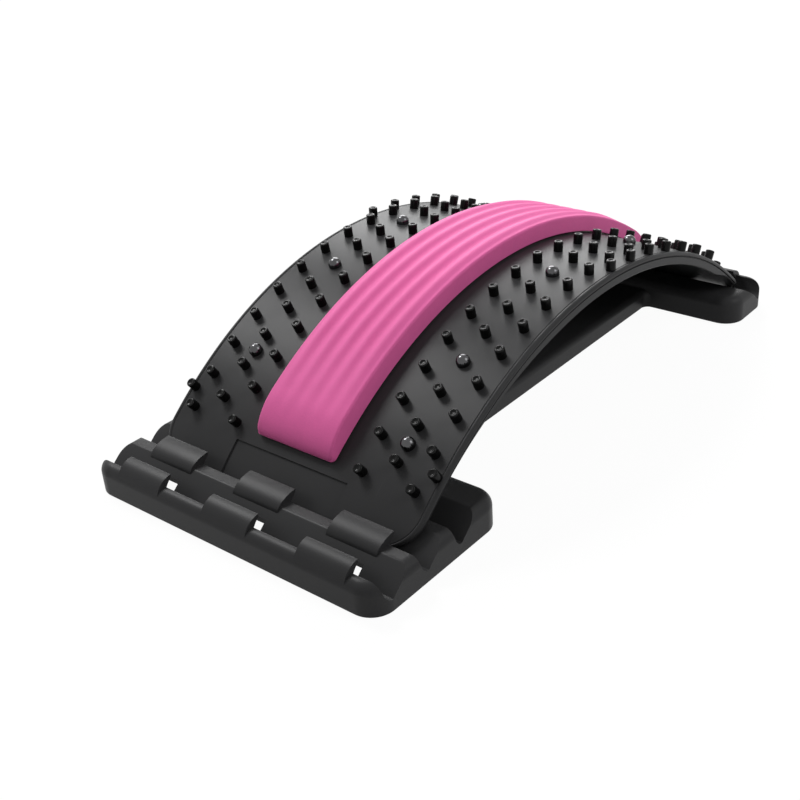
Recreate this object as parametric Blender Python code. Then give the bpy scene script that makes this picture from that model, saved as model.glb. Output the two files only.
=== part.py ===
"""Lumbar back stretcher: an arched massage panel held in a base with three height levels.

The long way of the object runs along X, its width along Y, and Z is up.
The origin is on the ground, under the middle of the base.
The panel slides sideways out of the base, so it hangs from an empty on that slide.
"""

import math

import bmesh
import bpy
from mathutils import Matrix, Vector

MM = 0.001

# Air left between two pieces that touch on the real object
GAP = 0.3 * MM

# Base frame, seen from above
BASE_LENGTH = 436 * MM
BASE_WIDTH = 216 * MM
PLATE_CORNER_RADIUS = 14 * MM
WAIST_WIDTH = 78 * MM
WAIST_FILLET = 14 * MM
WAIST_CELLS = 7

# Base frame, seen from the side
GROUND_CLEARANCE = 1 * MM
RIDGE_TOP = 20 * MM
WAIST_TOP = 14 * MM
EDGE_ROUNDING = 6.4 * MM
WAIST_ROUNDING = 4 * MM
BASE_WALL = 3 * MM
BASE_SKIN = 2.5 * MM
NOTCH_HEIGHT = 5.4 * MM

# Rows of hooks: three at the near end set the height of the panel, one holds its far end.
# The land is the flat behind the last row.
NEAR_ROWS = 3
FAR_ROWS = 1
ROW_PITCH = 28 * MM
RIDGE_WIDTH = 7 * MM
INNER_LAND = 15 * MM
VALLEY_FLOOR = 8.5 * MM
DROP_RUN = 5.5 * MM
FLOOR_WIDTH = 1 * MM
RAMP_BULGE = 0.2 * MM
SEATED_ROW = 1

# Hoods that reach over the ends of the panel
HOOD_COUNT = 3
HOOD_PITCH = 69 * MM
HOOD_SHIFT = 2 * MM
HOOD_WIDTH = 34 * MM
HOOD_TOP = 25 * MM
HOOD_REACH = 5.5 * MM
HOOD_LIP = 1.8 * MM
HOOD_LIP_LEAN = 0.5 * MM
HOOD_CENTRE = 1 * MM
HOOD_BACK_INSET = 0.3 * MM
HOOD_THROAT = 2.5 * MM
HOOD_THROAT_TOP = 21 * MM
HOOD_ROOT = 0.6 * MM
CORE_HOLE_DEPTH = 12 * MM
CORE_HOLE_START = 1.5 * MM
CORE_HOLE_SIDE = 7.5 * MM
RIB_BESIDE_HOOD = 3 * MM

# Least width of a hollow under the base; a narrower one stays solid
LEAST_CELL = 4 * MM

# Rubber feet in the corners of the base
FOOT_DIAMETER = 16 * MM
FOOT_THICKNESS = 3 * MM
FOOT_CHAMFER = 0.8 * MM
FOOT_INSET = 14 * MM

# Arched panel
PANEL_WIDTH = 193 * MM
PANEL_THICKNESS = 3 * MM
PANEL_CORNER_RADIUS = 22 * MM
PANEL_EDGE_ROUNDING = 2 * MM
CROWN_RADIUS = 268 * MM
CROWN_HALF_ARC = 108 * MM
END_RADIUS = 273 * MM
PANEL_END_RAISE = 1 * MM
PANEL_END_INSET = 6.2 * MM
RIM_DEPTH = 8 * MM
RIM_END_DEPTH = 3.6 * MM
RIM_WALL = 2.5 * MM
RIM_TAPER_START = 62 * MM
RIM_TAPER_END = 32 * MM
END_RECESS_DEPTH = 0.6 * MM
END_RECESS_WIDTH = 85 * MM
END_RECESS_FROM_PAD = 7 * MM
END_RECESS_DRAFT = 0.2 * MM

# Massage knobs moulded on the panel, in columns placed from the pad and from the panel's edge
KNOB_DIAMETER = 7 * MM
KNOB_HEIGHT = 7.5 * MM
KNOB_CHAMFER = 0.9 * MM
KNOB_DISH = 0.6 * MM
KNOB_ROOT = 1 * MM
KNOB_PITCH = 22.8 * MM
KNOB_END_MARGIN = 20 * MM
INNER_COLUMN_FROM_PAD = 18.5 * MM
OUTER_COLUMN_FROM_EDGE = 12.8 * MM
RIM_COLUMN_FROM_EDGE = 5 * MM

# Domed magnets, placed by rows of knobs counted from the crown of the arch
MAGNET_DIAMETER = 10 * MM
MAGNET_DOME_HEIGHT = 4.2 * MM
MAGNET_BRIM = 0.9 * MM
MAGNET_STEM_DIAMETER = 6.4 * MM
MAGNET_STEM_LENGTH = 1.4 * MM
MAGNET_ROWS_RIGHT = (-7, -4.5, -0.5, 3.5, 7)
MAGNET_ROWS_LEFT = (-6, -2.5, 0.5, 4.5, 7)
RIM_ROWS = (-7.5, 0.5, 1.5, 2.5, 3.5, 4.5, 5.5, 6.5)

# Ribbed foam pad and the film that sticks it down
PAD_WIDTH = 59 * MM
PAD_THICKNESS = 10.5 * MM
PAD_END_MARGIN = 31 * MM
PAD_END_ROUNDING = 13 * MM
PAD_END_THICKNESS = 2.5 * MM
PAD_CORNER_RADIUS = 7 * MM
PAD_EDGE_ROUNDING = 3 * MM
PAD_SIDE_DRAW = 0.8 * MM
PAD_SKIRT = 1.2 * MM
PAD_WAVES = 5
PAD_WAVE_HEIGHT = 2 * MM
PAD_WAVE_FADE = 60 * MM
FILM_THICKNESS = 0.5 * MM
FILM_MARGIN = 3 * MM

# Fineness of the round shapes
CORNER_STEPS = 6
EDGE_STEPS = 4
DROP_STEPS = 4
RAMP_STEPS = 5
HOOD_STEPS = 8
ARCH_STEPS = 44
RIM_STEPS = 2
KNOB_SIDES = 10
MAGNET_SIDES = 14
DOME_STEPS = 4
FOOT_SIDES = 20
PAD_END_STEPS = 5
WAVE_STEPS = 4
SEATING_ROUNDS = 8

# How far a cutter runs past the face that it opens, and least distance between two stations
CUT_MARGIN = 2 * MM
STATION_MARGIN = 2 * MM

# Ends of the base: side of the origin along X, with its count of rows
NEAR = (-1, NEAR_ROWS)
FAR = (1, FAR_ROWS)

# Colour, roughness and metallic value of each material
MOULDING = ('satin_black_moulding', (0.035, 0.035, 0.037), 0.45, 0)
CHROME = ('dark_chrome', (0.35, 0.35, 0.37), 0.12, 1)
FOAM = ('pink_foam', (0.70, 0.12, 0.33), 0.7, 0)
FILM = ('clear_film', (0.75, 0.72, 0.6), 0.4, 0)
RUBBER = ('black_rubber', (0.02, 0.02, 0.02), 0.85, 0)


class ArchPath:
    """Side view of the panel's top face: a crown arc that runs on into two end arcs."""

    def __init__(self, centre, half_span, end_height):
        self.centre = centre
        self.crown_angle = CROWN_HALF_ARC / CROWN_RADIUS
        crown_run = CROWN_RADIUS * math.sin(self.crown_angle)
        end_sine = math.sin(self.crown_angle) + (half_span - crown_run) / END_RADIUS
        self.end_angle = math.asin(end_sine)
        self.half_length = CROWN_HALF_ARC + END_RADIUS * (self.end_angle - self.crown_angle)
        self.crown_height = end_height + self.fall(self.end_angle)

    def fall(self, angle):
        """Height lost between the crown and the place where the panel slopes by angle."""
        crown_part = min(angle, self.crown_angle)
        lost = CROWN_RADIUS * (1 - math.cos(crown_part))
        if angle > self.crown_angle:
            lost += END_RADIUS * (math.cos(self.crown_angle) - math.cos(angle))
        return lost

    def run(self, angle):
        """Level distance between the crown and the place where the panel slopes by angle."""
        crown_part = min(angle, self.crown_angle)
        distance = CROWN_RADIUS * math.sin(crown_part)
        if angle > self.crown_angle:
            distance += END_RADIUS * (math.sin(angle) - math.sin(self.crown_angle))
        return distance

    def slope(self, along):
        """Slope of the panel at a distance along it, counted from the crown."""
        length = abs(along)
        if length <= CROWN_HALF_ARC:
            return length / CROWN_RADIUS
        return self.crown_angle + (length - CROWN_HALF_ARC) / END_RADIUS

    def point(self, along, across, height):
        """Place at a height square to the top face."""
        angle = self.slope(along)
        side = math.copysign(1, along)
        x = self.run(angle) + height * math.sin(angle)
        z = self.crown_height - self.fall(angle) + height * math.cos(angle)
        return Vector((self.centre + side * x, across, z))

    def placement(self, along, across, height=0):
        """Matrix that stands a piece upright on the top face."""
        turn = Matrix.Rotation(math.copysign(self.slope(along), along), 4, 'Y')
        return Matrix.Translation(self.point(along, across, height)) @ turn


# Scene and materials

def clear_scene():
    for item in list(bpy.data.objects):
        bpy.data.objects.remove(item)


def make_material(name, colour, roughness, metallic):
    material = bpy.data.materials.new(name)
    material.use_nodes = True
    shader = material.node_tree.nodes['Principled BSDF']
    shader.inputs['Base Color'].default_value = (*colour, 1)
    shader.inputs['Roughness'].default_value = roughness
    shader.inputs['Metallic'].default_value = metallic
    return material


def add_object(name, shape, material, parent=None, smooth_angle=35):
    """Turn a bmesh into a named object, shaded smooth except at its sharp edges."""
    bmesh.ops.recalc_face_normals(shape, faces=shape.faces)
    mesh = bpy.data.meshes.new(name)
    shape.to_mesh(mesh)
    shape.free()
    mesh.shade_smooth()
    mesh.set_sharp_from_angle(angle=math.radians(smooth_angle))
    mesh.materials.append(material)
    item = bpy.data.objects.new(name, mesh)
    bpy.context.collection.objects.link(item)
    item.parent = parent
    return item


def combine(target, operation, name, shape):
    """Join a shape to a piece or cut it away, with a Boolean that keeps its guide."""
    guide = add_object(name, shape, target.data.materials[0], target.parent)
    guide.hide_render = True
    guide.display_type = 'WIRE'
    modifier = target.modifiers.new(name, 'BOOLEAN')
    modifier.operation = operation
    modifier.object = guide


# Shapes

def arc(centre, radius, start, end, steps):
    """Points of an arc in a plane, angles in degrees."""
    angles = (math.radians(start + (end - start) * step / steps) for step in range(steps + 1))
    return [(centre[0] + radius * math.cos(a), centre[1] + radius * math.sin(a)) for a in angles]


def extrude_outline(shape, outline, bottom, top):
    """Raise a flat outline into a solid and return its top edges."""
    corners = [shape.verts.new((x, y, bottom)) for x, y in outline]
    floor = shape.faces.new(corners)
    raised = bmesh.ops.extrude_face_region(shape, geom=[floor])
    lifted = [item for item in raised['geom'] if isinstance(item, bmesh.types.BMVert)]
    bmesh.ops.translate(shape, verts=lifted, vec=(0, 0, top - bottom))
    lifted_set = set(lifted)
    return [edge for edge in shape.edges if set(edge.verts) <= lifted_set]


def rounded_block(outline, top, rounding):
    """Solid with an outline, standing just clear of the ground, and a rounded top edge."""
    shape = bmesh.new()
    edges = extrude_outline(shape, outline, GROUND_CLEARANCE, top)
    bmesh.ops.bevel(shape, geom=edges, offset=rounding, segments=EDGE_STEPS, profile=0.5,
                   affect='EDGES')
    return shape


def add_prism(shape, profile, start, end):
    """Add a solid with a profile in X and Z, drawn along Y."""
    near = [shape.verts.new((x, start, z)) for x, z in profile]
    far = [shape.verts.new((x, end, z)) for x, z in profile]
    shape.faces.new(near)
    shape.faces.new(list(reversed(far)))
    for index in range(len(profile)):
        after = (index + 1) % len(profile)
        shape.faces.new((near[index], far[index], far[after], near[after]))


def add_box(shape, low, high):
    profile = [(low[0], low[2]), (high[0], low[2]), (high[0], high[2]), (low[0], high[2])]
    add_prism(shape, profile, low[1], high[1])


def add_turned(shape, profile, sides, placement):
    """Turn a profile of radius and height round Z; it starts and ends on the axis."""
    rings = []
    for radius, height in profile[1:-1]:
        ring = []
        for side in range(sides):
            angle = 2 * math.pi * side / sides
            place = Vector((radius * math.cos(angle), radius * math.sin(angle), height))
            ring.append(shape.verts.new(placement @ place))
        rings.append(ring)
    foot = shape.verts.new(placement @ Vector((0, 0, profile[0][1])))
    head = shape.verts.new(placement @ Vector((0, 0, profile[-1][1])))
    for side in range(sides):
        after = (side + 1) % sides
        shape.faces.new((foot, rings[0][after], rings[0][side]))
        shape.faces.new((head, rings[-1][side], rings[-1][after]))
        for lower, upper in zip(rings, rings[1:]):
            shape.faces.new((lower[side], lower[after], upper[after], upper[side]))


def add_loft(shape, sections):
    """Skin a row of sections that have the same number of points."""
    rows = [[shape.verts.new(place) for place in section] for section in sections]
    count = len(rows[0])
    for row, following in zip(rows, rows[1:]):
        for index in range(count):
            after = (index + 1) % count
            shape.faces.new((row[index], row[after], following[after], following[index]))
    shape.faces.new(list(reversed(rows[0])))
    shape.faces.new(rows[-1])


# Base frame

def end_x(side, inward):
    """X of a place at the end on a side, by its distance inward from the end face."""
    return side * (BASE_LENGTH / 2 - inward)


def at_end(side, profile):
    """Side view at an end, from points given by distance inward and height."""
    return [(end_x(side, inward), z) for inward, z in profile]


def row_drop(row):
    """Distance from the end face to the edge where a ridge drops into its valley."""
    return RIDGE_WIDTH + row * ROW_PITCH


def plate_depth(rows):
    return row_drop(rows) + INNER_LAND


def plate_outline(side, rows):
    outer = BASE_LENGTH / 2
    inner = outer - plate_depth(rows)
    half = BASE_WIDTH / 2
    r = PLATE_CORNER_RADIUS
    points = arc((inner + r, -half + r), r, 180, 270, CORNER_STEPS)
    points += arc((outer - r, -half + r), r, 270, 360, CORNER_STEPS)
    points += arc((outer - r, half - r), r, 0, 90, CORNER_STEPS)
    points += arc((inner + r, half - r), r, 90, 180, CORNER_STEPS)
    return [(side * x, y) for x, y in points]


def waist_ends():
    """X of the plates' inner faces, which the waist joins."""
    return [end_x(side, plate_depth(rows)) for side, rows in (NEAR, FAR)]


def waist_outline():
    """Outline of the bar between the plates, flared where it runs into them."""
    near, far = waist_ends()
    buried = 2 * EDGE_ROUNDING
    half = WAIST_WIDTH / 2
    r = WAIST_FILLET
    left = [(near - buried, half + r)] + arc((near + r, half + r), r, 180, 270, CORNER_STEPS)
    left += arc((far - r, half + r), r, 270, 360, CORNER_STEPS) + [(far + buried, half + r)]
    return left + [(x, -y) for x, y in reversed(left)]


def valley_profile(row):
    """Side view of the valley behind a ridge: a steep hooked drop and a long ramp."""
    drop = row_drop(row)
    depth = RIDGE_TOP - VALLEY_FLOOR
    ramp_foot = drop + DROP_RUN + FLOOR_WIDTH
    ramp_head = drop + ROW_PITCH - RIDGE_WIDTH
    above = HOOD_TOP + CUT_MARGIN
    points = [(drop, above)]
    for step in range(DROP_STEPS + 1):
        angle = math.radians(90 * step / DROP_STEPS)
        points.append((drop + DROP_RUN * (1 - math.cos(angle)), RIDGE_TOP - depth * math.sin(angle)))
    for step in range(RAMP_STEPS + 1):
        share = step / RAMP_STEPS
        bulge = RAMP_BULGE * 4 * share * (1 - share)
        points.append((ramp_foot + (ramp_head - ramp_foot) * share - bulge,
                       VALLEY_FLOOR + depth * share + bulge))
    points.append((ramp_head, above))
    return points


def hood_profile(row):
    """Side view of a hood: a back that swells out of the ridge and a lip over the valley."""
    drop = row_drop(row)
    back = RIDGE_WIDTH + HOOD_CENTRE - HOOD_BACK_INSET
    spring = RIDGE_TOP - EDGE_ROUNDING
    rise = HOOD_TOP - spring
    tip_angle = math.degrees(math.asin((HOOD_REACH - HOOD_CENTRE) / back))
    points = []
    for step in range(HOOD_STEPS + 1):
        angle = math.radians(-90 + (90 + tip_angle) * step / HOOD_STEPS)
        points.append((drop + HOOD_CENTRE + back * math.sin(angle), spring + rise * math.cos(angle)))
    tip, tip_height = points[-1]
    points.append((tip - HOOD_LIP_LEAN, tip_height - HOOD_LIP))
    points.append((drop + HOOD_THROAT, HOOD_THROAT_TOP))
    points.append((drop + HOOD_ROOT, RIDGE_TOP - HOOD_LIP))
    points.append((drop - HOOD_LIP, spring))
    return points


def hood_centres():
    return [(index - (HOOD_COUNT - 1) / 2) * HOOD_PITCH - HOOD_SHIFT for index in range(HOOD_COUNT)]


def foot_places():
    x = BASE_LENGTH / 2 - FOOT_INSET
    y = BASE_WIDTH / 2 - FOOT_INSET
    return {
        'foot_near_right': (-x, -y),
        'foot_near_left': (-x, y),
        'foot_far_right': (x, -y),
        'foot_far_left': (x, y),
    }


def valley_cutters():
    shape = bmesh.new()
    half = BASE_WIDTH / 2 + CUT_MARGIN
    for side, rows in (NEAR, FAR):
        for row in range(rows):
            add_prism(shape, at_end(side, valley_profile(row)), -half, half)
    return shape


def hoods():
    shape = bmesh.new()
    for side, rows in (NEAR, FAR):
        for row in range(rows):
            profile = at_end(side, hood_profile(row))
            for centre in hood_centres():
                add_prism(shape, profile, centre - HOOD_WIDTH / 2, centre + HOOD_WIDTH / 2)
    return shape


def core_holes():
    """Openings through the valley under each hood, which the mould's cores leave."""
    shape = bmesh.new()
    half = HOOD_WIDTH / 2 - CORE_HOLE_SIDE
    for side, rows in (NEAR, FAR):
        for row in range(rows):
            start = row_drop(row) + CORE_HOLE_START
            end = start + CORE_HOLE_DEPTH
            low = VALLEY_FLOOR - BASE_SKIN - CUT_MARGIN
            high = RIDGE_TOP - HOOD_LIP
            profile = at_end(side, [(start, low), (end, low), (end, high), (start, high)])
            for centre in hood_centres():
                add_prism(shape, profile, centre - half, centre + half)
    return shape


def cells(lines):
    """Spaces left between ribs whose middles lie on the lines."""
    spaces = [(low + BASE_WALL / 2, high - BASE_WALL / 2) for low, high in zip(lines, lines[1:])]
    return [(low, high) for low, high in spaces if high - low > LEAST_CELL]


def plate_cells():
    """Spaces between the lengthwise ribs of a plate, which run beside each hood."""
    beside = HOOD_WIDTH / 2 + RIB_BESIDE_HOOD
    side = (BASE_WIDTH - BASE_WALL) / 2
    lines = [-side]
    for centre in hood_centres():
        lines += [centre - beside, centre + beside]
    return cells(lines + [side])


def ramp_hollow(row):
    """Side view of the hollow under a valley, its ramp and the ridge after it."""
    start = row_drop(row) if row else BASE_WALL
    end = row_drop(row + 1) - BASE_WALL
    ramp_foot = row_drop(row) + DROP_RUN + FLOOR_WIDTH
    ramp_head = row_drop(row + 1) - RIDGE_WIDTH
    low = VALLEY_FLOOR - BASE_SKIN
    high = RIDGE_TOP - BASE_SKIN
    return [(start, -CUT_MARGIN), (start, low), (ramp_foot, low), (ramp_head, high), (end, high),
            (end, -CUT_MARGIN)]


def land_hollow(rows):
    """Side view of the hollow under the land behind the last row."""
    start = row_drop(rows)
    end = plate_depth(rows) - BASE_WALL
    high = RIDGE_TOP - BASE_SKIN
    return [(start, -CUT_MARGIN), (start, high), (end, high), (end, -CUT_MARGIN)]


def plate_pockets():
    """Hollows under the plates; the corners stay solid round the feet."""
    shape = bmesh.new()
    clear = BASE_WIDTH / 2 - FOOT_INSET - FOOT_DIAMETER / 2 - BASE_WALL
    for side, rows in (NEAR, FAR):
        hollows = [ramp_hollow(row) for row in range(rows)] + [land_hollow(rows)]
        for hollow in hollows:
            reach = clear if hollow in (hollows[0], hollows[-1]) else BASE_WIDTH
            for low, high in plate_cells():
                low, high = max(low, -reach), min(high, reach)
                if high - low > LEAST_CELL:
                    add_prism(shape, at_end(side, hollow), low, high)
    return shape


def rib_notches():
    """Low notches in the cross ribs behind each core hole."""
    shape = bmesh.new()
    for side, rows in (NEAR, FAR):
        for row in range(1, rows + 1):
            start = row_drop(row) - BASE_WALL - CUT_MARGIN
            end = row_drop(row) + CUT_MARGIN
            profile = at_end(side, [(start, -CUT_MARGIN), (end, -CUT_MARGIN), (end, NOTCH_HEIGHT),
                                    (start, NOTCH_HEIGHT)])
            for centre in hood_centres():
                add_prism(shape, profile, centre - HOOD_WIDTH / 2, centre + HOOD_WIDTH / 2)
    return shape


def waist_pockets():
    """Hollows under the waist, with cross ribs and a rib down the middle."""
    shape = bmesh.new()
    near, far = waist_ends()
    pitch = (far - near + BASE_WALL) / WAIST_CELLS
    lines_x = [near - BASE_WALL / 2 + index * pitch for index in range(WAIST_CELLS + 1)]
    side = WAIST_WIDTH / 2 - BASE_WALL / 2
    for start, end in cells(lines_x):
        for low, high in cells([-side, 0, side]):
            add_box(shape, (start, low, -CUT_MARGIN), (end, high, WAIST_TOP - BASE_WALL))
    return shape


def foot_sockets():
    shape = bmesh.new()
    radius = FOOT_DIAMETER / 2 + GAP
    profile = [(0, -CUT_MARGIN), (radius, -CUT_MARGIN), (radius, FOOT_THICKNESS + GAP),
               (0, FOOT_THICKNESS + GAP)]
    for x, y in foot_places().values():
        add_turned(shape, profile, FOOT_SIDES, Matrix.Translation((x, y, 0)))
    return shape


def make_base_frame(material):
    near_plate = rounded_block(plate_outline(*NEAR), RIDGE_TOP, EDGE_ROUNDING)
    base = add_object('base_frame', near_plate, material)
    combine(base, 'UNION', 'waist_guide', rounded_block(waist_outline(), WAIST_TOP, WAIST_ROUNDING))
    combine(base, 'UNION', 'far_plate_guide',
            rounded_block(plate_outline(*FAR), RIDGE_TOP, EDGE_ROUNDING))
    combine(base, 'DIFFERENCE', 'valley_guide', valley_cutters())
    combine(base, 'UNION', 'hood_guide', hoods())
    combine(base, 'DIFFERENCE', 'plate_pocket_guide', plate_pockets())
    combine(base, 'DIFFERENCE', 'rib_notch_guide', rib_notches())
    combine(base, 'DIFFERENCE', 'waist_pocket_guide', waist_pockets())
    combine(base, 'DIFFERENCE', 'core_hole_guide', core_holes())
    combine(base, 'DIFFERENCE', 'foot_socket_guide', foot_sockets())


def make_feet(material):
    radius = FOOT_DIAMETER / 2
    profile = [(0, 0), (radius - FOOT_CHAMFER, 0), (radius, FOOT_CHAMFER), (radius, FOOT_THICKNESS),
               (0, FOOT_THICKNESS)]
    for name, (x, y) in foot_places().items():
        shape = bmesh.new()
        add_turned(shape, profile, FOOT_SIDES, Matrix.Identity(4))
        foot = add_object(name, shape, material)
        foot.location = (x, y, 0)


# Arched panel

def seated_path():
    """Path of the panel's top face that puts the lower edges of its ends in their rows."""
    near = end_x(NEAR[0], row_drop(SEATED_ROW) + PANEL_END_INSET)
    far = end_x(FAR[0], row_drop(FAR_ROWS - 1) + PANEL_END_INSET)
    centre = (near + far) / 2
    half_span = (far - near) / 2
    underside_z = VALLEY_FLOOR + PANEL_END_RAISE
    path = ArchPath(centre, half_span, underside_z)
    for _ in range(SEATING_ROUNDS):
        span = half_span + PANEL_THICKNESS * math.sin(path.end_angle)
        height = underside_z + PANEL_THICKNESS * math.cos(path.end_angle)
        path = ArchPath(centre, span, height)
    return path


def shared_stations(path, reach):
    """Distances along the arch at which the panel and all that lies on it bend alike."""
    straight = path.half_length - PANEL_CORNER_RADIUS
    stations = [straight * (2 * step / ARCH_STEPS - 1) for step in range(ARCH_STEPS + 1)]
    inside = [along for along in stations if abs(along) < reach - STATION_MARGIN]
    return [-reach] + inside + [reach]


def rounded_half_width(from_end, half, radius):
    """Half width of a strip whose corners are rounded, by distance from its end."""
    if from_end >= radius:
        return half
    return half - radius + math.sqrt(max(radius ** 2 - (radius - from_end) ** 2, 0))


def recess_start(path):
    """Distance along the arch at which the shallow recess before each end begins."""
    return path.half_length - PAD_END_MARGIN + END_RECESS_FROM_PAD


def panel_stations(path):
    """Distances along the panel, closer together at the recesses and in the rounded corners."""
    straight = path.half_length - PANEL_CORNER_RADIUS
    turns = [math.radians(90 * step / CORNER_STEPS) for step in range(CORNER_STEPS + 1)]
    marks = [straight + PANEL_CORNER_RADIUS * math.sin(turn) for turn in turns]
    marks += [recess_start(path), recess_start(path) + END_RECESS_DRAFT]
    marks.sort()
    outer = marks[1:]
    return [-along for along in reversed(outer)] + shared_stations(path, marks[0]) + outer


def rim_depth(path, along):
    """Depth of the turned-down rim, which thins out before the ends."""
    from_end = path.half_length - abs(along)
    share = (from_end - RIM_TAPER_END) / (RIM_TAPER_START - RIM_TAPER_END)
    share = min(max(share, 0), 1)
    return RIM_END_DEPTH + (RIM_DEPTH - RIM_END_DEPTH) * share * share * (3 - 2 * share)


def panel_section(path, along):
    half = rounded_half_width(path.half_length - abs(along), PANEL_WIDTH / 2, PANEL_CORNER_RADIUS)
    recess = END_RECESS_DEPTH if abs(along) > recess_start(path) else 0
    recess_edge = END_RECESS_WIDTH / 2
    rim = rim_depth(path, along)
    r = PANEL_EDGE_ROUNDING
    side = [(recess_edge - END_RECESS_DRAFT, -recess), (recess_edge, 0)]
    side += arc((half - r, -r), r, 90, 0, RIM_STEPS)
    side += [(half, -rim), (half - RIM_WALL, -rim), (half - RIM_WALL, -PANEL_THICKNESS)]
    across = side + [(-y, height) for y, height in reversed(side)]
    return [path.point(along, y, height) for y, height in across]


def knob_columns():
    """Distances of the columns from the middle: inner, middle, outer and rim."""
    inner = PAD_WIDTH / 2 + INNER_COLUMN_FROM_PAD
    outer = PANEL_WIDTH / 2 - OUTER_COLUMN_FROM_EDGE
    return inner, (inner + outer) / 2, outer, PANEL_WIDTH / 2 - RIM_COLUMN_FROM_EDGE


def knob_places(path):
    """Distance along and across the panel of each knob."""
    inner, middle, outer, rim = knob_columns()
    reach = path.half_length - KNOB_END_MARGIN
    last = int(reach / KNOB_PITCH)
    whole = range(-last, last + 1)
    halves = [row + 0.5 for row in range(-last, last)]
    places = []
    for side, magnet_rows in ((-1, MAGNET_ROWS_RIGHT), (1, MAGNET_ROWS_LEFT)):
        places += [(row, side * inner) for row in whole]
        places += [(row, side * middle) for row in halves if row not in magnet_rows]
        places += [(row, side * outer) for row in whole]
        places += [(row, side * rim) for row in RIM_ROWS if abs(row) < last]
    return [(row * KNOB_PITCH, across) for row, across in places]


def magnet_places(path):
    """Name of each magnet with its distance along and across the panel."""
    reach = (path.half_length - KNOB_END_MARGIN) / KNOB_PITCH
    middle = knob_columns()[1]
    places = {}
    for label, side, rows in (('right', -1, MAGNET_ROWS_RIGHT), ('left', 1, MAGNET_ROWS_LEFT)):
        for number, row in enumerate(rows, start=1):
            along = math.copysign(min(abs(row), reach), row) * KNOB_PITCH
            places[f'magnet_{label}_{number}'] = (along, side * middle)
    return places


def knobs(path):
    radius = KNOB_DIAMETER / 2
    profile = [(0, -KNOB_ROOT), (radius, -KNOB_ROOT), (radius, KNOB_HEIGHT - KNOB_CHAMFER),
               (radius - KNOB_CHAMFER, KNOB_HEIGHT), (0, KNOB_HEIGHT - KNOB_DISH)]
    shape = bmesh.new()
    for along, across in knob_places(path):
        add_turned(shape, profile, KNOB_SIDES, path.placement(along, across))
    return shape


def magnet_sockets(path):
    radius = MAGNET_STEM_DIAMETER / 2 + GAP
    depth = MAGNET_STEM_LENGTH + GAP
    profile = [(0, -depth), (radius, -depth), (radius, CUT_MARGIN), (0, CUT_MARGIN)]
    shape = bmesh.new()
    for along, across in magnet_places(path).values():
        add_turned(shape, profile, MAGNET_SIDES, path.placement(along, across))
    return shape


def make_arch_panel(path, material, parent):
    shape = bmesh.new()
    add_loft(shape, [panel_section(path, along) for along in panel_stations(path)])
    panel = add_object('arch_panel', shape, material, parent)
    combine(panel, 'UNION', 'knob_guide', knobs(path))
    combine(panel, 'DIFFERENCE', 'magnet_socket_guide', magnet_sockets(path))


def make_magnets(path, material, parent):
    radius = MAGNET_DIAMETER / 2
    stem = MAGNET_STEM_DIAMETER / 2
    profile = [(0, -MAGNET_STEM_LENGTH), (stem, -MAGNET_STEM_LENGTH), (stem, GAP), (radius, GAP)]
    spring = GAP + MAGNET_BRIM
    for step in range(DOME_STEPS):
        angle = math.radians(90 * step / DOME_STEPS)
        rise = (MAGNET_DOME_HEIGHT - spring) * math.sin(angle)
        profile.append((radius * math.cos(angle), spring + rise))
    profile.append((0, MAGNET_DOME_HEIGHT))
    for name, (along, across) in magnet_places(path).items():
        shape = bmesh.new()
        add_turned(shape, profile, MAGNET_SIDES, Matrix.Identity(4))
        magnet = add_object(name, shape, material, parent)
        magnet.matrix_local = path.placement(along, across)


# Pad

def pad_half_length(path):
    return path.half_length - PAD_END_MARGIN


def pad_height(path, along, across, half):
    """Height of the pad's top face, with waves that fade towards the ends."""
    from_end = pad_half_length(path) - abs(along)
    height = PAD_THICKNESS
    if from_end < PAD_END_ROUNDING:
        share = 1 - from_end / PAD_END_ROUNDING
        height = PAD_END_THICKNESS + (PAD_THICKNESS - PAD_END_THICKNESS) * math.sqrt(1 - share ** 2)
    fade = min(max((from_end - PAD_END_ROUNDING) / PAD_WAVE_FADE, 0), 1)
    phase = math.pi * (PAD_WAVES * across / half + PAD_WAVES - 1)
    return height + PAD_WAVE_HEIGHT * fade * (1 + math.cos(phase)) / 2


def pad_section(path, along):
    seat = 2 * GAP + FILM_THICKNESS
    from_end = pad_half_length(path) - abs(along)
    half = rounded_half_width(from_end, PAD_WIDTH / 2, PAD_CORNER_RADIUS)
    crest = half - PAD_SIDE_DRAW
    flat = crest - PAD_EDGE_ROUNDING
    steps = WAVE_STEPS * PAD_WAVES
    top = []
    for step in range(steps + 1):
        across = flat * (1 - 2 * step / steps)
        top.append((across, seat + pad_height(path, along, across, flat)))
    shoulder = top[0][1] - seat
    drop = min(PAD_EDGE_ROUNDING, shoulder - PAD_SKIRT)
    side = [(half, seat), (half, seat + PAD_SKIRT / 2)]
    for step in range(RIM_STEPS):
        angle = math.radians(90 * step / RIM_STEPS)
        edge = flat + PAD_EDGE_ROUNDING * math.cos(angle)
        side.append((edge, seat + shoulder - drop * (1 - math.sin(angle))))
    other = [(-across, height) for across, height in reversed(side)]
    return [path.point(along, across, height) for across, height in side + top + other]


def pad_stations(path):
    """Distances along the pad, closer together where its ends round off."""
    straight = pad_half_length(path) - PAD_END_ROUNDING
    turns = [math.radians(90 * step / PAD_END_STEPS) for step in range(1, PAD_END_STEPS + 1)]
    end = [straight + PAD_END_ROUNDING * math.sin(turn) for turn in turns]
    return [-along for along in reversed(end)] + shared_stations(path, straight) + end


def make_lumbar_pad(path, material, parent):
    shape = bmesh.new()
    add_loft(shape, [pad_section(path, along) for along in pad_stations(path)])
    add_object('lumbar_pad', shape, material, parent)


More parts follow.
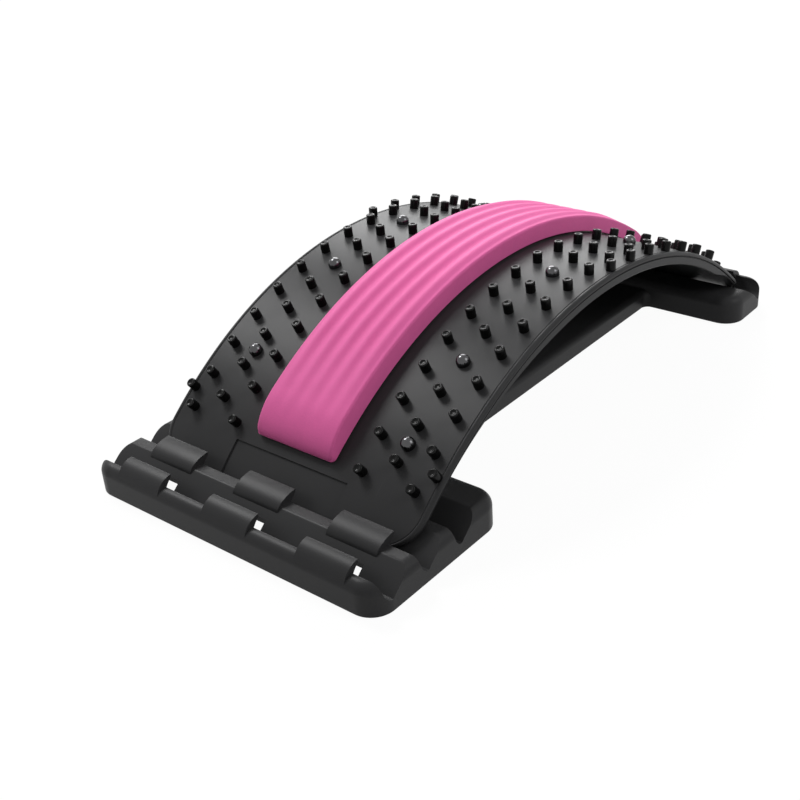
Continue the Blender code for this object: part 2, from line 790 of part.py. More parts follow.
def make_pad_film(path, material, parent):
    """Double-sided film between the pad and the panel."""
    shape = bmesh.new()
    half = PAD_WIDTH / 2 - FILM_MARGIN
    reach = pad_half_length(path) - FILM_MARGIN
    sections = []
    for along in shared_stations(path, reach):
        corners = ((-half, GAP), (half, GAP), (half, GAP + FILM_THICKNESS),
                   (-half, GAP + FILM_THICKNESS))
        sections.append([path.point(along, y, height) for y, height in corners])
    add_loft(shape, sections)
    add_object('pad_adhesive_film', shape, material, parent)


def main():
    clear_scene()
    moulding = make_material(*MOULDING)
    make_base_frame(moulding)
    make_feet(make_material(*RUBBER))

    path = seated_path()
    slide = bpy.data.objects.new('panel_slide', None)
    bpy.context.collection.objects.link(slide)
    make_arch_panel(path, moulding, slide)
    make_magnets(path, make_material(*CHROME), slide)
    make_pad_film(path, make_material(*FILM), slide)
    make_lumbar_pad(path, make_material(*FOAM), slide)


main()
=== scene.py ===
"""Looks of a lumbar back stretcher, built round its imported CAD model.

The long way of the object runs along X, its width along Y, and Z is up.
Everything that hangs on the arch rides on the body arch, the rest on the body base.
"""

import math
from functools import partial

import bmesh
import bpy
from bpy.props import FloatProperty, FloatVectorProperty, IntProperty, PointerProperty
from bpy.types import Operator, Panel, PropertyGroup
from mathutils import Matrix, Vector


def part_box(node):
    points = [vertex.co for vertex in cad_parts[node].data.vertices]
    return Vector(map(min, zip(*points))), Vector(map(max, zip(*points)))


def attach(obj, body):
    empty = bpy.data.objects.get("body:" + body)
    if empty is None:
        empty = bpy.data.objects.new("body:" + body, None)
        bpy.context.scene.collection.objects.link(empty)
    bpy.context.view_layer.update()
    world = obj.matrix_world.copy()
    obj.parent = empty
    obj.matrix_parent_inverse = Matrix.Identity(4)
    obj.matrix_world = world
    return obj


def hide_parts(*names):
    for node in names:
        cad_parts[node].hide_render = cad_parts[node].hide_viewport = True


bl_info = {
    'name': 'Lumbar Back Stretcher',
    'version': (1, 0, 0),
    'blender': (4, 5, 0),
    'location': 'View3D > Sidebar > Stretcher',
    'description': 'Builds the visible pieces, finishes and studio of a lumbar back stretcher',
    'category': 'Object',
}

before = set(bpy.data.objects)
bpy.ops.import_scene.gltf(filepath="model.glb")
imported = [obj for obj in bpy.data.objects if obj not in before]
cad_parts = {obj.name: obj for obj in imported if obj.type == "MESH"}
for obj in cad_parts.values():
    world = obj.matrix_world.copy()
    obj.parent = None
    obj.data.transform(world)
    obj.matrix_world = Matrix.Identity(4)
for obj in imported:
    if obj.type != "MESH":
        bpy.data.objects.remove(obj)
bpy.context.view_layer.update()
BASE_LOW, BASE_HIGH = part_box('base_frame')

MM = 0.001

# Air left between two pieces that touch on the real object
GAP = 0.3 * MM

# How far a cutter runs past the face that it opens
CUT_MARGIN = 2 * MM

# Least width of a hollow under the base; a narrower one stays solid
LEAST_CELL = 4 * MM

# Space between a hood and the ribs under its sides
RIB_CLEARANCE = 3 * MM

# Shape of a hood: inset of its back, lean of its lip, place and rise of its throat, its root,
# and the rounding of its tip and its ends
HOOD_BACK_INSET = 0.3 * MM
HOOD_LIP_LEAN = 0.5 * MM
HOOD_THROAT = 2.5 * MM
HOOD_THROAT_RISE = 1 * MM
HOOD_ROOT = 0.6 * MM
HOOD_TIP_ROUNDING = 0.3 * MM
HOOD_END_ROUNDING = 0.15 * MM

# Shoulder along the edge of the panel: its slope and its rounding, as shares of its width
SHOULDER_SLOPE = 0.2
SHOULDER_ROUNDING = 0.72

# Sections of the grooves beside the shoulder, outwards and upwards in widths of a groove
FACE_GROOVE = ((-1, 0), (-0.5, -0.45), (0, 0))
RIM_GROOVE = ((0, 0), (-1.3, -0.5), (-1.3, -0.9), (-0.2, -1.3))

# Bevel at the foot of the rim, and least distance from a section to the edge of the recess
RIM_BEVEL = 0.5 * MM
RECESS_CLEARANCE = 0.5 * MM

# Points of a loft that lie closer than this are one point
MERGE_DISTANCE = 0.001 * MM

# Radius of a dish as a share of its stud's radius, and the flat share of the dish
KNOB_DISH = 0.62
FOOT_DISH = 0.75
DISH_FLOOR = 0.45

# Air under a magnet
MAGNET_LIFT = 0.05 * MM

# Bevel at the foot of the pad, and power of the curve of its ends; 0.5 is a quarter circle
PAD_FOOT_BEVEL = 0.4 * MM
PAD_END_POWER = 0.7

# Fineness of the round shapes
CORNER_STEPS = 20
EDGE_STEPS = 10
FILLET_STEPS = 4
HOOD_END_STEPS = 2
DROP_STEPS = 14
RAMP_STEPS = 12
HOOD_STEPS = 26
ARCH_STEPS = 150
SHOULDER_STEPS = 6
WAVE_STEPS = 14
PAD_EDGE_STEPS = 8
PAD_END_STEPS = 16
STUD_SIDES = 36
STUD_RINGS = 9
DOME_RINGS = 14
SEATING_ROUNDS = 8
SMOOTH_ANGLE = math.radians(32)

# Places of the magnets along their columns, in rows of knobs, and rows with a knob on the rim
MAGNET_ROWS_RIGHT = (-7, -4.5, -0.5, 3.5, 7)
MAGNET_ROWS_LEFT = (-6, -2.5, 0.5, 4.5, 7)
RIM_ROWS = (-7.5, 0.5, 1.5, 2.5, 3.5, 4.5, 5.5, 6.5)
MAGNET_NODES = [f'magnet_{side}_{number}' for side in ('right', 'left') for number in range(1, 6)]
FOOT_NODES = ('foot_near_right', 'foot_near_left', 'foot_far_right', 'foot_far_left')

# Slow changes of tone and gloss over moulded plastic and rubber, and the fine ones of its
# grain; and the colour of its worn places
TONE_SPREAD = 0.08
GLOSS_SPREAD = 0.03
SPECKLE_GLOSS = 0.04
WORN_COLOUR = (0.10, 0.10, 0.10, 1)

# Hair scratches: the turn of each set and its stretch, which makes streaks of it
SCRATCHES = ((0.4, (9, 900, 60)), (-0.9, (12, 700, 60)))

# Floor of the studio; a glow of 1 or more is white
FLOOR_SIZE = 4
FLOOR_TONES = (0.66, 0.70)
FLOOR_GLOW = 1.04

# Lamps, each with its width and place, and the point that they all face
LAMPS = {'key': (0.65, (0.05, 1.3, 1.6)), 'back': (1.2, (1.5, 1.2, 1.0)),
         'side': (1.0, (0.4, -1.4, 1.3))}
LAMP_TARGET = (0, 0, 0.05)

# Camera at the photograph's viewing angle, in metres, degrees and millimetres of lens
CAMERA_PLACE = (-0.5381, -0.41439, 0.36851)
CAMERA_YAW, CAMERA_PITCH, CAMERA_ROLL = 41.26, 28.94, -4.28
CAMERA_LENS = 52.99
SENSOR_WIDTH = 36


# Settings

def size(name, millimetres, description):
    return FloatProperty(name=name, description=description, default=millimetres * MM, min=0,
                         precision=5, subtype='DISTANCE', unit='LENGTH')


def share(name, value, description):
    return FloatProperty(name=name, description=description, default=value, min=0, max=1,
                         subtype='FACTOR')


def power(name, watts, description):
    return FloatProperty(name=name, description=description, default=watts, min=0,
                         subtype='POWER', unit='POWER')


def colour(name, value, description):
    return FloatVectorProperty(name=name, description=description, default=value, size=3, min=0,
                               max=1, subtype='COLOR')


def number(name, value, description):
    return IntProperty(name=name, description=description, default=value, min=1)


class BaseSizes(PropertyGroup):
    length: size('Length', (BASE_HIGH.x - BASE_LOW.x) / MM, 'Length of the base')
    width: size('Width', (BASE_HIGH.y - BASE_LOW.y) / MM, 'Width of the end plates')
    corner_radius: size('Corner radius', 14, 'Corners of the end plates seen from above')
    edge_rounding: size('Edge rounding', 6.4, 'Rounding of the upper edges of the end plates')
    foot_rounding: size('Foot rounding', 0.8, 'Rounding of the lower edges')
    ground_clearance: size('Ground clearance', 1, 'Air under the base')
    ridge_top: size('Ridge height', 20, 'Height of the ridges')
    ridge_width: size('Ridge width', 7, 'Width of a ridge')
    row_pitch: size('Row pitch', 28, 'Distance between the rows of hooks')
    near_rows: number('Near rows', 3, 'Rows of hooks at the near end, one for each height')
    far_rows: number('Far rows', 1, 'Rows of hooks at the far end')
    seated_row: number('Seated row', 2, 'Near row that holds the panel, counted from outside')
    land: size('Land', 15, 'Flat behind the last row')
    valley_floor: size('Valley floor', 8.5, 'Height of the floor of a valley')
    drop_run: size('Drop run', 5.5, 'Run of the hooked drop behind a ridge')
    floor_width: size('Floor width', 1, 'Flat at the bottom of a valley')
    ramp_bulge: size('Ramp bulge', 0.2, 'Rise of the middle of a ramp')
    crease: size('Crease rounding', 0.5, 'Rounding of the sharp edges of ridges and hoods')
    ramp_crease: size('Ramp rounding', 2.5, 'Rounding where a ramp runs into its ridge')
    hood_pitch: size('Hood pitch', 69, 'Distance between hoods in a row')
    hood_shift: size('Hood shift', 2, 'Shift of the hoods to the right')
    hood_width: size('Hood width', 34, 'Width of a hood')
    hood_top: size('Hood height', 25, 'Height of the hoods')
    hood_reach: size('Hood reach', 5.5, 'Reach of a hood over its valley')
    hood_swell: size('Hood swell', 3.4, 'Reach of an inner hood down the ramp before its ridge')
    hood_lip: size('Hood lip', 1.8, 'Thickness of the lip of a hood')
    hole_side: size('Core hole side', 4.5, 'Wall between the end of a hood and its core hole')
    hole_start: size('Core hole start', 1.5, 'Distance from the ridge to a core hole')
    hole_depth: size('Core hole depth', 12, 'Size of a core hole along the base')
    waist_width: size('Waist width', 78, 'Width of the bar between the plates')
    waist_fillet: size('Waist fillet', 5, 'Fillet where the bar runs into the plates')
    waist_top: size('Waist height', 14, 'Height of the bar between the plates')
    waist_rounding: size('Waist rounding', 4, 'Rounding of the upper edges of the bar')
    waist_cells: number('Waist cells', 7, 'Hollows along the bar')
    wall: size('Wall', 3, 'Thickness of walls and ribs')
    skin: size('Skin', 2.5, 'Thickness over the hollows')
    notch_height: size('Rib notch', 5.4, 'Height of the notches in the cross ribs')


class PanelSizes(PropertyGroup):
    width: size('Width', 193, 'Width of the arched panel')
    thickness: size('Thickness', 3, 'Thickness of the arched panel')
    corner_radius: size('Corner radius', 22, 'Corners of the panel seen from above')
    crown_radius: size('Crown radius', 268, 'Radius of the middle of the arch')
    crown_half_arc: size('Crown half arc', 108, 'Distance from the crown to the end arcs')
    end_radius: size('End radius', 273, 'Radius of the ends of the arch')
    end_raise: size('End raise', 1, 'Air under the ends of the panel')
    end_inset: size('End inset', 6.2, 'Distance from a drop edge to the end of the panel')
    end_rounding: size('End rounding', 1.2, 'Rounding of the end edges')
    rim_depth: size('Rim depth', 8, 'Depth of the turned-down rim')
    rim_end_depth: size('Rim end depth', 3.6, 'Depth of the rim at the ends')
    rim_wall: size('Rim wall', 2.5, 'Thickness of the rim')
    taper_start: size('Rim taper start', 62, 'Distance from the end at which the rim grows thin')
    near_taper_start: size('Near rim taper start', 170,
                           'Distance from the near end at which the rim grows thin')
    taper_end: size('Rim taper end', 32, 'Distance from the end at which the rim is thin')
    bead_width: size('Bead width', 2.6, 'Width of the rounded shoulder along the edge')
    bead_rise: size('Bead rise', 0.15, 'Rise of the shoulder above the face')
    bead_groove: size('Bead groove', 0.8, 'Depth and width of the grooves beside the shoulder')
    recess_depth: size('Recess depth', 0.9, 'Depth of the shallow recess before each end')
    recess_width: size('Recess width', 85, 'Width of the recess')
    recess_from_pad: size('Recess from pad', 7, 'Distance from the pad to the recess')
    recess_draft: size('Recess draft', 0.2, 'Lean of the walls of the recess')


class StudSizes(PropertyGroup):
    knob_diameter: size('Knob diameter', 5.8, 'Diameter of a massage knob')
    knob_height: size('Knob height', 6.4, 'Height of a massage knob')
    knob_rounding: size('Knob rounding', 0.8, 'Rounding of the top edge of a knob')
    knob_dish: size('Knob dish', 0.5, 'Depth of the dish in the top of a knob')
    knob_root: size('Knob root', 1, 'Depth of a knob inside the panel')
    knob_pitch: size('Knob pitch', 22.8, 'Distance between knobs in a column')
    knob_end_margin: size('Knob end margin', 20, 'Least distance from a knob to the end')
    inner_column: size('Inner column', 18.5, 'Distance from the pad to the inner column')
    outer_column: size('Outer column', 12.8, 'Distance from the edge to the outer column')
    rim_column: size('Rim column', 5, 'Distance from the edge to the knobs on the rim')
    magnet_diameter: size('Magnet diameter', 8.2, 'Diameter of a domed magnet')
    magnet_height: size('Magnet height', 5.4, 'Height of a domed magnet')
    magnet_brim: size('Magnet brim', 1.6, 'Height of the straight brim of a magnet')
    foot_diameter: size('Foot diameter', 16, 'Diameter of a rubber foot')
    foot_thickness: size('Foot thickness', 3, 'Thickness of a rubber foot')
    foot_rounding: size('Foot rounding', 0.8, 'Rounding of the lower edge of a foot')
    foot_dish: size('Foot dish', 0.4, 'Depth of the dish under a foot')
    foot_inset: size('Foot inset', 14, 'Distance from the sides of the base to a foot')


class PadSizes(PropertyGroup):
    width: size('Width', 59, 'Width of the foam pad')
    thickness: size('Thickness', 10.5, 'Thickness of the foam pad')
    end_margin: size('End margin', 31, 'Distance from the end of the panel to the pad')
    end_rounding: size('End rounding', 24, 'Rounding of the ends of the pad')
    end_thickness: size('End thickness', 1.8, 'Thickness of the ends of the pad')
    corner_radius: size('Corner radius', 3, 'Corners of the pad seen from above')
    edge_rounding: size('Edge rounding', 1.7, 'Rounding of the long edges')
    side_draw: size('Side draw', 1, 'Lean of the sides of the pad')
    skirt: size('Skirt', 1.2, 'Height of the straight foot of the sides')
    waves: number('Waves', 5, 'Crests across the pad')
    wave_height: size('Wave height', 1.7, 'Height of the crests')
    wave_fade: size('Wave fade', 60, 'Distance over which the crests fade at the ends')
    film_thickness: size('Film thickness', 0.5, 'Thickness of the adhesive film')


class FinishColours(PropertyGroup):
    moulding: colour('Moulding', (0.035, 0.035, 0.036), 'Colour of the satin black moulding')
    knobs: colour('Knobs', (0.004, 0.004, 0.004), 'Colour of the glossy knobs')
    chrome: colour('Dark chrome', (0.09, 0.09, 0.093), 'Colour of the plated magnets')
    foam: colour('Foam', (0.83, 0.143, 0.405), 'Colour of the foam pad')
    film: colour('Film', (0.75, 0.72, 0.60), 'Colour of the adhesive film')
    rubber: colour('Rubber', (0.02, 0.02, 0.02), 'Colour of the feet')
    moulding_roughness: share('Moulding roughness', 0.38, 'Roughness of the satin moulding')
    knob_roughness: share('Knob roughness', 0.24, 'Roughness of the glossy knobs')


class StageSettings(PropertyGroup):
    sky_light: share('Sky light', 0.23, 'Soft light from all round')
    floor_shadow: share('Floor shadow', 0.08, 'Share of the floor that keeps the soft shadow')
    key_power: power('Key power', 26, 'Power of the lamp at the upper left')
    back_power: power('Back power', 27, 'Power of the lamp behind the arch')
    side_power: power('Side power', 11, 'Power of the lamp on the right')


class StretcherSettings(PropertyGroup):
    base: PointerProperty(name='Base', description='Base moulding', type=BaseSizes)
    panel: PointerProperty(name='Panel', description='Arched panel', type=PanelSizes)
    studs: PointerProperty(name='Studs', description='Knobs, magnets and feet', type=StudSizes)
    pad: PointerProperty(name='Pad', description='Foam pad and its film', type=PadSizes)
    finishes: PointerProperty(name='Finishes', description='Colours', type=FinishColours)
    stage: PointerProperty(name='Stage', description='Studio', type=StageSettings)


# Shapes

def arc(centre, radius, start, end, steps):
    """Points of an arc in a plane, angles in degrees."""
    angles = (math.radians(start + (end - start) * step / steps) for step in range(steps + 1))
    return [(centre[0] + radius * math.cos(a), centre[1] + radius * math.sin(a)) for a in angles]


def soften(profile, radii):
    """Round the corners of a profile; radii gives the radius for the index of each."""
    points = []
    for index, corner in enumerate(profile):
        radius = radii.get(index, 0)
        if not radius:
            points.append(corner)
            continue
        here = Vector(corner)
        before = (Vector(profile[index - 1]) - here).normalized()
        after = (Vector(profile[(index + 1) % len(profile)]) - here).normalized()
        half = before.angle(after) / 2
        reach = radius / math.tan(half)
        centre = here + (before + after).normalized() * radius / math.sin(half)
        start, end = here + before * reach - centre, here + after * reach - centre
        for step in range(FILLET_STEPS + 1):
            spoke = start.slerp(end, step / FILLET_STEPS).normalized()
            points.append(tuple(centre + radius * spoke))
    return points


def round_edges(shape, edges, radius, steps):
    bmesh.ops.bevel(shape, geom=edges, offset=radius, segments=steps, profile=0.5,
                    affect='EDGES')


def extrude_outline(shape, outline, bottom, top):
    """Raise a flat outline into a solid and return its bottom and its top edges."""
    floor = shape.faces.new([shape.verts.new((x, y, bottom)) for x, y in outline])
    low = list(floor.edges)
    raised = bmesh.ops.extrude_face_region(shape, geom=[floor])
    lifted = [item for item in raised['geom'] if isinstance(item, bmesh.types.BMVert)]
    bmesh.ops.translate(shape, verts=lifted, vec=(0, 0, top - bottom))
    lifted_set = set(lifted)
    return low, [edge for edge in shape.edges if set(edge.verts) <= lifted_set]


def rounded_block(s, outline, top, rounding):
    """Solid with an outline, rounded above and a little below."""
    shape = bmesh.new()
    low, high = extrude_outline(shape, outline, s.ground_clearance, top)
    round_edges(shape, high, rounding, EDGE_STEPS)
    round_edges(shape, [edge for edge in low if edge.is_valid], s.foot_rounding, FILLET_STEPS)
    return shape


def add_prism(shape, profile, start, end, end_rounding=0):
    """Add a solid with a profile in X and Z, drawn along Y, and round the edges of its ends."""
    near = [shape.verts.new((x, start, z)) for x, z in profile]
    far = [shape.verts.new((x, end, z)) for x, z in profile]
    caps = [shape.faces.new(near), shape.faces.new(list(reversed(far)))]
    for index in range(len(profile)):
        after = (index + 1) % len(profile)
        shape.faces.new((near[index], far[index], far[after], near[after]))
    if end_rounding:
        edges = [edge for cap in caps for edge in cap.edges]
        round_edges(shape, edges, end_rounding, HOOD_END_STEPS)


def add_box(shape, low, high):
    profile = [(low[0], low[2]), (high[0], low[2]), (high[0], high[2]), (low[0], high[2])]
    add_prism(shape, profile, low[1], high[1])


def add_loft(shape, sections):
    """Skin a row of sections that have the same number of points, and close its ends."""
    rows = [[shape.verts.new(place) for place in section] for section in sections]
    count = len(rows[0])
    for row, following in zip(rows, rows[1:]):
        for index in range(count):
            after = (index + 1) % count
            shape.faces.new((row[index], row[after], following[after], following[index]))
    shape.faces.new(list(reversed(rows[0])))
    shape.faces.new(rows[-1])


def add_object(name, shape, material=None):
    """Turn a bmesh into a named object at the origin, with its faces outwards."""
    bmesh.ops.recalc_face_normals(shape, faces=shape.faces)
    mesh = bpy.data.meshes.new(name)
    shape.to_mesh(mesh)
    shape.free()
    if material:
        mesh.materials.append(material)
    item = bpy.data.objects.new(name, mesh)
    bpy.context.scene.collection.objects.link(item)
    return item


def combine(target, operation, shape):
    """Join a shape to a piece or cut it away."""
    guide = add_object(f'{target.name}_guide', shape)
    modifier = target.modifiers.new(guide.name, 'BOOLEAN')
    modifier.operation = operation
    modifier.solver = 'EXACT'
    modifier.object = guide


def settle(piece):
    """Make a piece with modifiers one plain mesh, and drop the guides that shaped it."""
    guides = [modifier.object for modifier in piece.modifiers if modifier.type == 'BOOLEAN']
    depsgraph = bpy.context.evaluated_depsgraph_get()
    mesh = bpy.data.meshes.new_from_object(piece.evaluated_get(depsgraph), depsgraph=depsgraph)
    if not mesh.polygons:
        raise RuntimeError(f'{piece.name} came out empty')
    piece.modifiers.clear()
    piece.data = mesh
    mesh.name = piece.name
    for guide in guides:
        bpy.data.objects.remove(guide)


def shade(piece, weighted=False):
    """Shade a piece smooth except at its sharp edges."""
    piece.data.shade_smooth()
    piece.data.set_sharp_from_angle(angle=SMOOTH_ANGLE)
    if weighted:
        modifier = piece.modifiers.new('face_weights', 'WEIGHTED_NORMAL')
        modifier.keep_sharp = True
        settle(piece)


def hand_over(piece, body, nodes):
    """Tell the frame what a piece rides on, and hide the CAD nodes that it stands for."""
    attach(piece, body)
    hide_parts(*nodes)


# Nodes

def add_node(tree, kind, inputs=None, **settings):
    """Add a node, set it up, and feed its inputs with values or with other nodes' sockets."""
    made = tree.nodes.new(kind)
    for key, value in settings.items():
        setattr(made, key, value)
    for key, value in (inputs or {}).items():
        if isinstance(value, bpy.types.NodeSocket):
            tree.links.new(value, made.inputs[key])
        else:
            made.inputs[key].default_value = value
    return made


def maths(tree, operation, *values):
    """Result of a calculation with values and other nodes' sockets."""
    made = add_node(tree, 'ShaderNodeMath', dict(enumerate(values)), operation=operation)
    return made.outputs[0]


def between(tree, value, low, high):
    """Stretch a value that runs from 0 to 1 so that it runs from low to high."""
    return maths(tree, 'MULTIPLY_ADD', value, high - low, low)


def new_tree(name, kind, inputs, outputs):
    """Node group with its named sockets, and its group input and output nodes."""
    tree = bpy.data.node_groups.new(name, kind)
    for in_out, sockets in (('INPUT', inputs), ('OUTPUT', outputs)):
        for label, socket_type in sockets:
            tree.interface.new_socket(label, in_out=in_out, socket_type=socket_type)
    return tree, tree.nodes.new('NodeGroupInput').outputs, tree.nodes.new('NodeGroupOutput').inputs


# Finishes

def noise(tree, where, scale, detail, roughness=0.5):
    made = add_node(tree, 'ShaderNodeTexNoise', {'Vector': where, 'Scale': scale,
                                                 'Detail': detail, 'Roughness': roughness})
    return made.outputs[0]


def toned(tree, tint, tone):
    """Colour made lighter or darker by a tone."""
    return add_node(tree, 'ShaderNodeVectorMath', {0: tint, 'Scale': tone},
                    operation='SCALE').outputs[0]


def mix_colours(tree, share_of_second, first, second):
    mix = add_node(tree, 'ShaderNodeMix', {0: share_of_second, 6: first, 7: second},
                   data_type='RGBA')
    return mix.outputs[2]


def add_relief(tree, shader, height, depth):
    bump = add_node(tree, 'ShaderNodeBump', {'Height': height, 'Strength': 1, 'Distance': depth})
    tree.links.new(bump.outputs[0], shader.inputs['Normal'])


def moulded_grain():
    """Shader group: fine moulded grain, with slow changes of tone and gloss."""
    name = 'moulded_grain'
    if name in bpy.data.node_groups:
        return bpy.data.node_groups[name]
    tree, given, result = new_tree(name, 'ShaderNodeTree', [
        ('Vector', 'NodeSocketVector'), ('Colour', 'NodeSocketColor'),
        ('Tone Spread', 'NodeSocketFloat'), ('Roughness', 'NodeSocketFloat'),
        ('Roughness Spread', 'NodeSocketFloat'), ('Grains per Metre', 'NodeSocketFloat'),
    ], [
        ('Colour', 'NodeSocketColor'), ('Roughness', 'NodeSocketFloat'),
        ('Height', 'NodeSocketFloat'),
    ])
    slow = noise(tree, given['Vector'], scale=16, detail=3, roughness=0.55)
    fine = noise(tree, given['Vector'], given['Grains per Metre'], detail=2, roughness=0.6)
    swing = between(tree, slow, -2, 2)
    tone = maths(tree, 'MULTIPLY_ADD', swing, given['Tone Spread'], 1)
    tree.links.new(toned(tree, given['Colour'], tone), result['Colour'])
    gloss = maths(tree, 'MULTIPLY_ADD', swing, given['Roughness Spread'], given['Roughness'])
    speckle = between(tree, fine, -SPECKLE_GLOSS, SPECKLE_GLOSS)
    tree.links.new(maths(tree, 'ADD', speckle, gloss), result['Roughness'])
    tree.links.new(fine, result['Height'])
    return tree


def handling_marks():
    """Shader group: a few hair scratches and rubbed patches, as a mask."""
    name = 'handling_marks'
    if name in bpy.data.node_groups:
        return bpy.data.node_groups[name]
    tree, given, result = new_tree(name, 'ShaderNodeTree', [
        ('Vector', 'NodeSocketVector'), ('Amount', 'NodeSocketFloat'),
    ], [('Mask', 'NodeSocketFloat')])
    lines = []
    for turn, stretch in SCRATCHES:
        laid = add_node(tree, 'ShaderNodeMapping', {'Vector': given['Vector'],
                                                    'Rotation': (0, 0, turn), 'Scale': stretch})
        streak = noise(tree, laid.outputs[0], scale=1, detail=1)
        lines.append(add_node(tree, 'ShaderNodeMapRange', {'Value': streak, 'From Min': 0.70,
                                                           'From Max': 0.78}).outputs[0])
    rubbed = noise(tree, given['Vector'], scale=30, detail=5, roughness=0.7)
    patch = add_node(tree, 'ShaderNodeMapRange', {'Value': rubbed, 'From Min': 0.52,
                                                  'From Max': 0.72}).outputs[0]
    marks = maths(tree, 'MULTIPLY', maths(tree, 'MAXIMUM', *lines), patch)
    mask = maths(tree, 'MULTIPLY', marks, given['Amount'])
    tree.links.new(mask, result['Mask'])
    return tree


def new_material(name):
    material = bpy.data.materials.new(name)
    material.use_nodes = True
    tree = material.node_tree
    shader = tree.nodes['Principled BSDF']
    where = tree.nodes.new('ShaderNodeTexCoord').outputs['Object']
    return material, tree, shader, where


def moulded_finish(name, tint, roughness, grain, relief, marks, shine=0.1):
    """Moulded plastic or rubber with grain, slow changes of gloss and faint marks."""
    material, tree, shader, where = new_material(name)
    surface = add_node(tree, 'ShaderNodeGroup', {
        'Vector': where, 'Colour': (*tint, 1), 'Tone Spread': TONE_SPREAD,
        'Roughness': roughness, 'Roughness Spread': GLOSS_SPREAD, 'Grains per Metre': grain},
        node_tree=moulded_grain())
    worn = add_node(tree, 'ShaderNodeGroup', {'Vector': where, 'Amount': marks},
                    node_tree=handling_marks())
    lightened = mix_colours(tree, worn.outputs['Mask'], surface.outputs['Colour'], WORN_COLOUR)
    tree.links.new(lightened, shader.inputs['Base Color'])
    shader.inputs['Specular IOR Level'].default_value = shine
    rough = maths(tree, 'ADD', surface.outputs['Roughness'], worn.outputs['Mask'])
    tree.links.new(rough, shader.inputs['Roughness'])
    add_relief(tree, shader, surface.outputs['Height'], relief)
    return material


def moulding_finish(name, finishes):
    """Satin black moulding, of which the base and the panel are made."""
    return moulded_finish(name, finishes.moulding, finishes.moulding_roughness,
                          grain=1500, relief=0.04 * MM, marks=0.25)


def plated_finish(tint):
    """Dark polished plate with a slight unevenness and a few hair scratches."""
    material, tree, shader, where = new_material('dark_chrome_plate')
    worn = add_node(tree, 'ShaderNodeGroup', {'Vector': where, 'Amount': 0.15},
                    node_tree=handling_marks())
    haze = noise(tree, where, scale=260, detail=2)
    shader.inputs['Metallic'].default_value = 1
    dulled = (*[0.8 * part for part in tint], 1)
    tree.links.new(mix_colours(tree, haze, (*tint, 1), dulled), shader.inputs['Base Color'])
    rough = maths(tree, 'ADD', between(tree, haze, 0.16, 0.22), worn.outputs['Mask'])
    tree.links.new(rough, shader.inputs['Roughness'])
    return material


def foam_finish(tint):
    """Closed-cell foam: a skin of tiny cells over a soft, slightly mottled colour."""
    material, tree, shader, where = new_material('pink_foam_skin')
    cells = add_node(tree, 'ShaderNodeTexVoronoi', {'Vector': where, 'Scale': 1300,
                                                    'Randomness': 1}, feature='F1')
    fine = noise(tree, where, scale=700, detail=3, roughness=0.65)
    mottle = noise(tree, where, scale=60, detail=4, roughness=0.6)
    tone = maths(tree, 'MULTIPLY', between(tree, mottle, 0.92, 1.08),
                 between(tree, fine, 0.95, 1.05))
    tree.links.new(toned(tree, tint, tone), shader.inputs['Base Color'])
    tree.links.new(between(tree, fine, 0.56, 0.72), shader.inputs['Roughness'])
    shader.inputs['Specular IOR Level'].default_value = 0.2
    shader.inputs['Sheen Weight'].default_value = 0.06
    shader.inputs['Sheen Roughness'].default_value = 0.5
    height = maths(tree, 'MULTIPLY_ADD', cells.outputs['Distance'], 0.6, fine)
    add_relief(tree, shader, height, 0.06 * MM)
    return material


def film_finish(tint):
    """Milky adhesive film with a few trapped bubbles."""
    material, tree, shader, where = new_material('clear_adhesive_film')
    bubbles = add_node(tree, 'ShaderNodeTexVoronoi', {'Vector': where, 'Scale': 300})
    tone = between(tree, noise(tree, where, scale=45, detail=3), 0.9, 1.1)
    tree.links.new(toned(tree, tint, tone), shader.inputs['Base Color'])
    rough = between(tree, bubbles.outputs['Distance'], 0.25, 0.55)
    tree.links.new(rough, shader.inputs['Roughness'])
    return material


# Base moulding

def base_ends(s):
    """Side of the origin along X and count of rows of each end."""
    return (-1, s.near_rows), (1, s.far_rows)


def at_end(s, side, profile):
    """Side view at an end, from points given by distance inward and height."""
    return [(side * (s.length / 2 - inward), z) for inward, z in profile]


def row_drop(s, row):
    """Distance from the end face to the edge where a ridge drops into its valley."""
    return s.ridge_width + row * s.row_pitch


def plate_depth(s, rows):
    """Depth of an end plate along the base."""
    return row_drop(s, rows) + s.land


def plate_outline(s, side, rows):
    outer = s.length / 2
    inner = outer - plate_depth(s, rows)
    half = s.width / 2
    r = s.corner_radius
    corners = ((inner + r, -half + r, 180), (outer - r, -half + r, 270),
               (outer - r, half - r, 0), (inner + r, half - r, 90))
    return [(side * x, y) for corner_x, corner_y, start in corners
            for x, y in arc((corner_x, corner_y), r, start, start + 90, CORNER_STEPS)]


def waist_ends(s):
    """Where along X the waist joins the inner faces of the plates."""
    return [side * (s.length / 2 - plate_depth(s, rows)) for side, rows in base_ends(s)]


def waist_outline(s):
    """Outline of the bar between the plates, flared where it runs into them."""
    near, far = waist_ends(s)
    buried = 2 * s.edge_rounding
    half = s.waist_width / 2
    r = s.waist_fillet
    left = [(near - buried, half + r)] + arc((near + r, half + r), r, 180, 270, CORNER_STEPS)
    left += arc((far - r, half + r), r, 270, 360, CORNER_STEPS) + [(far + buried, half + r)]
    return left + [(x, -y) for x, y in reversed(left)]


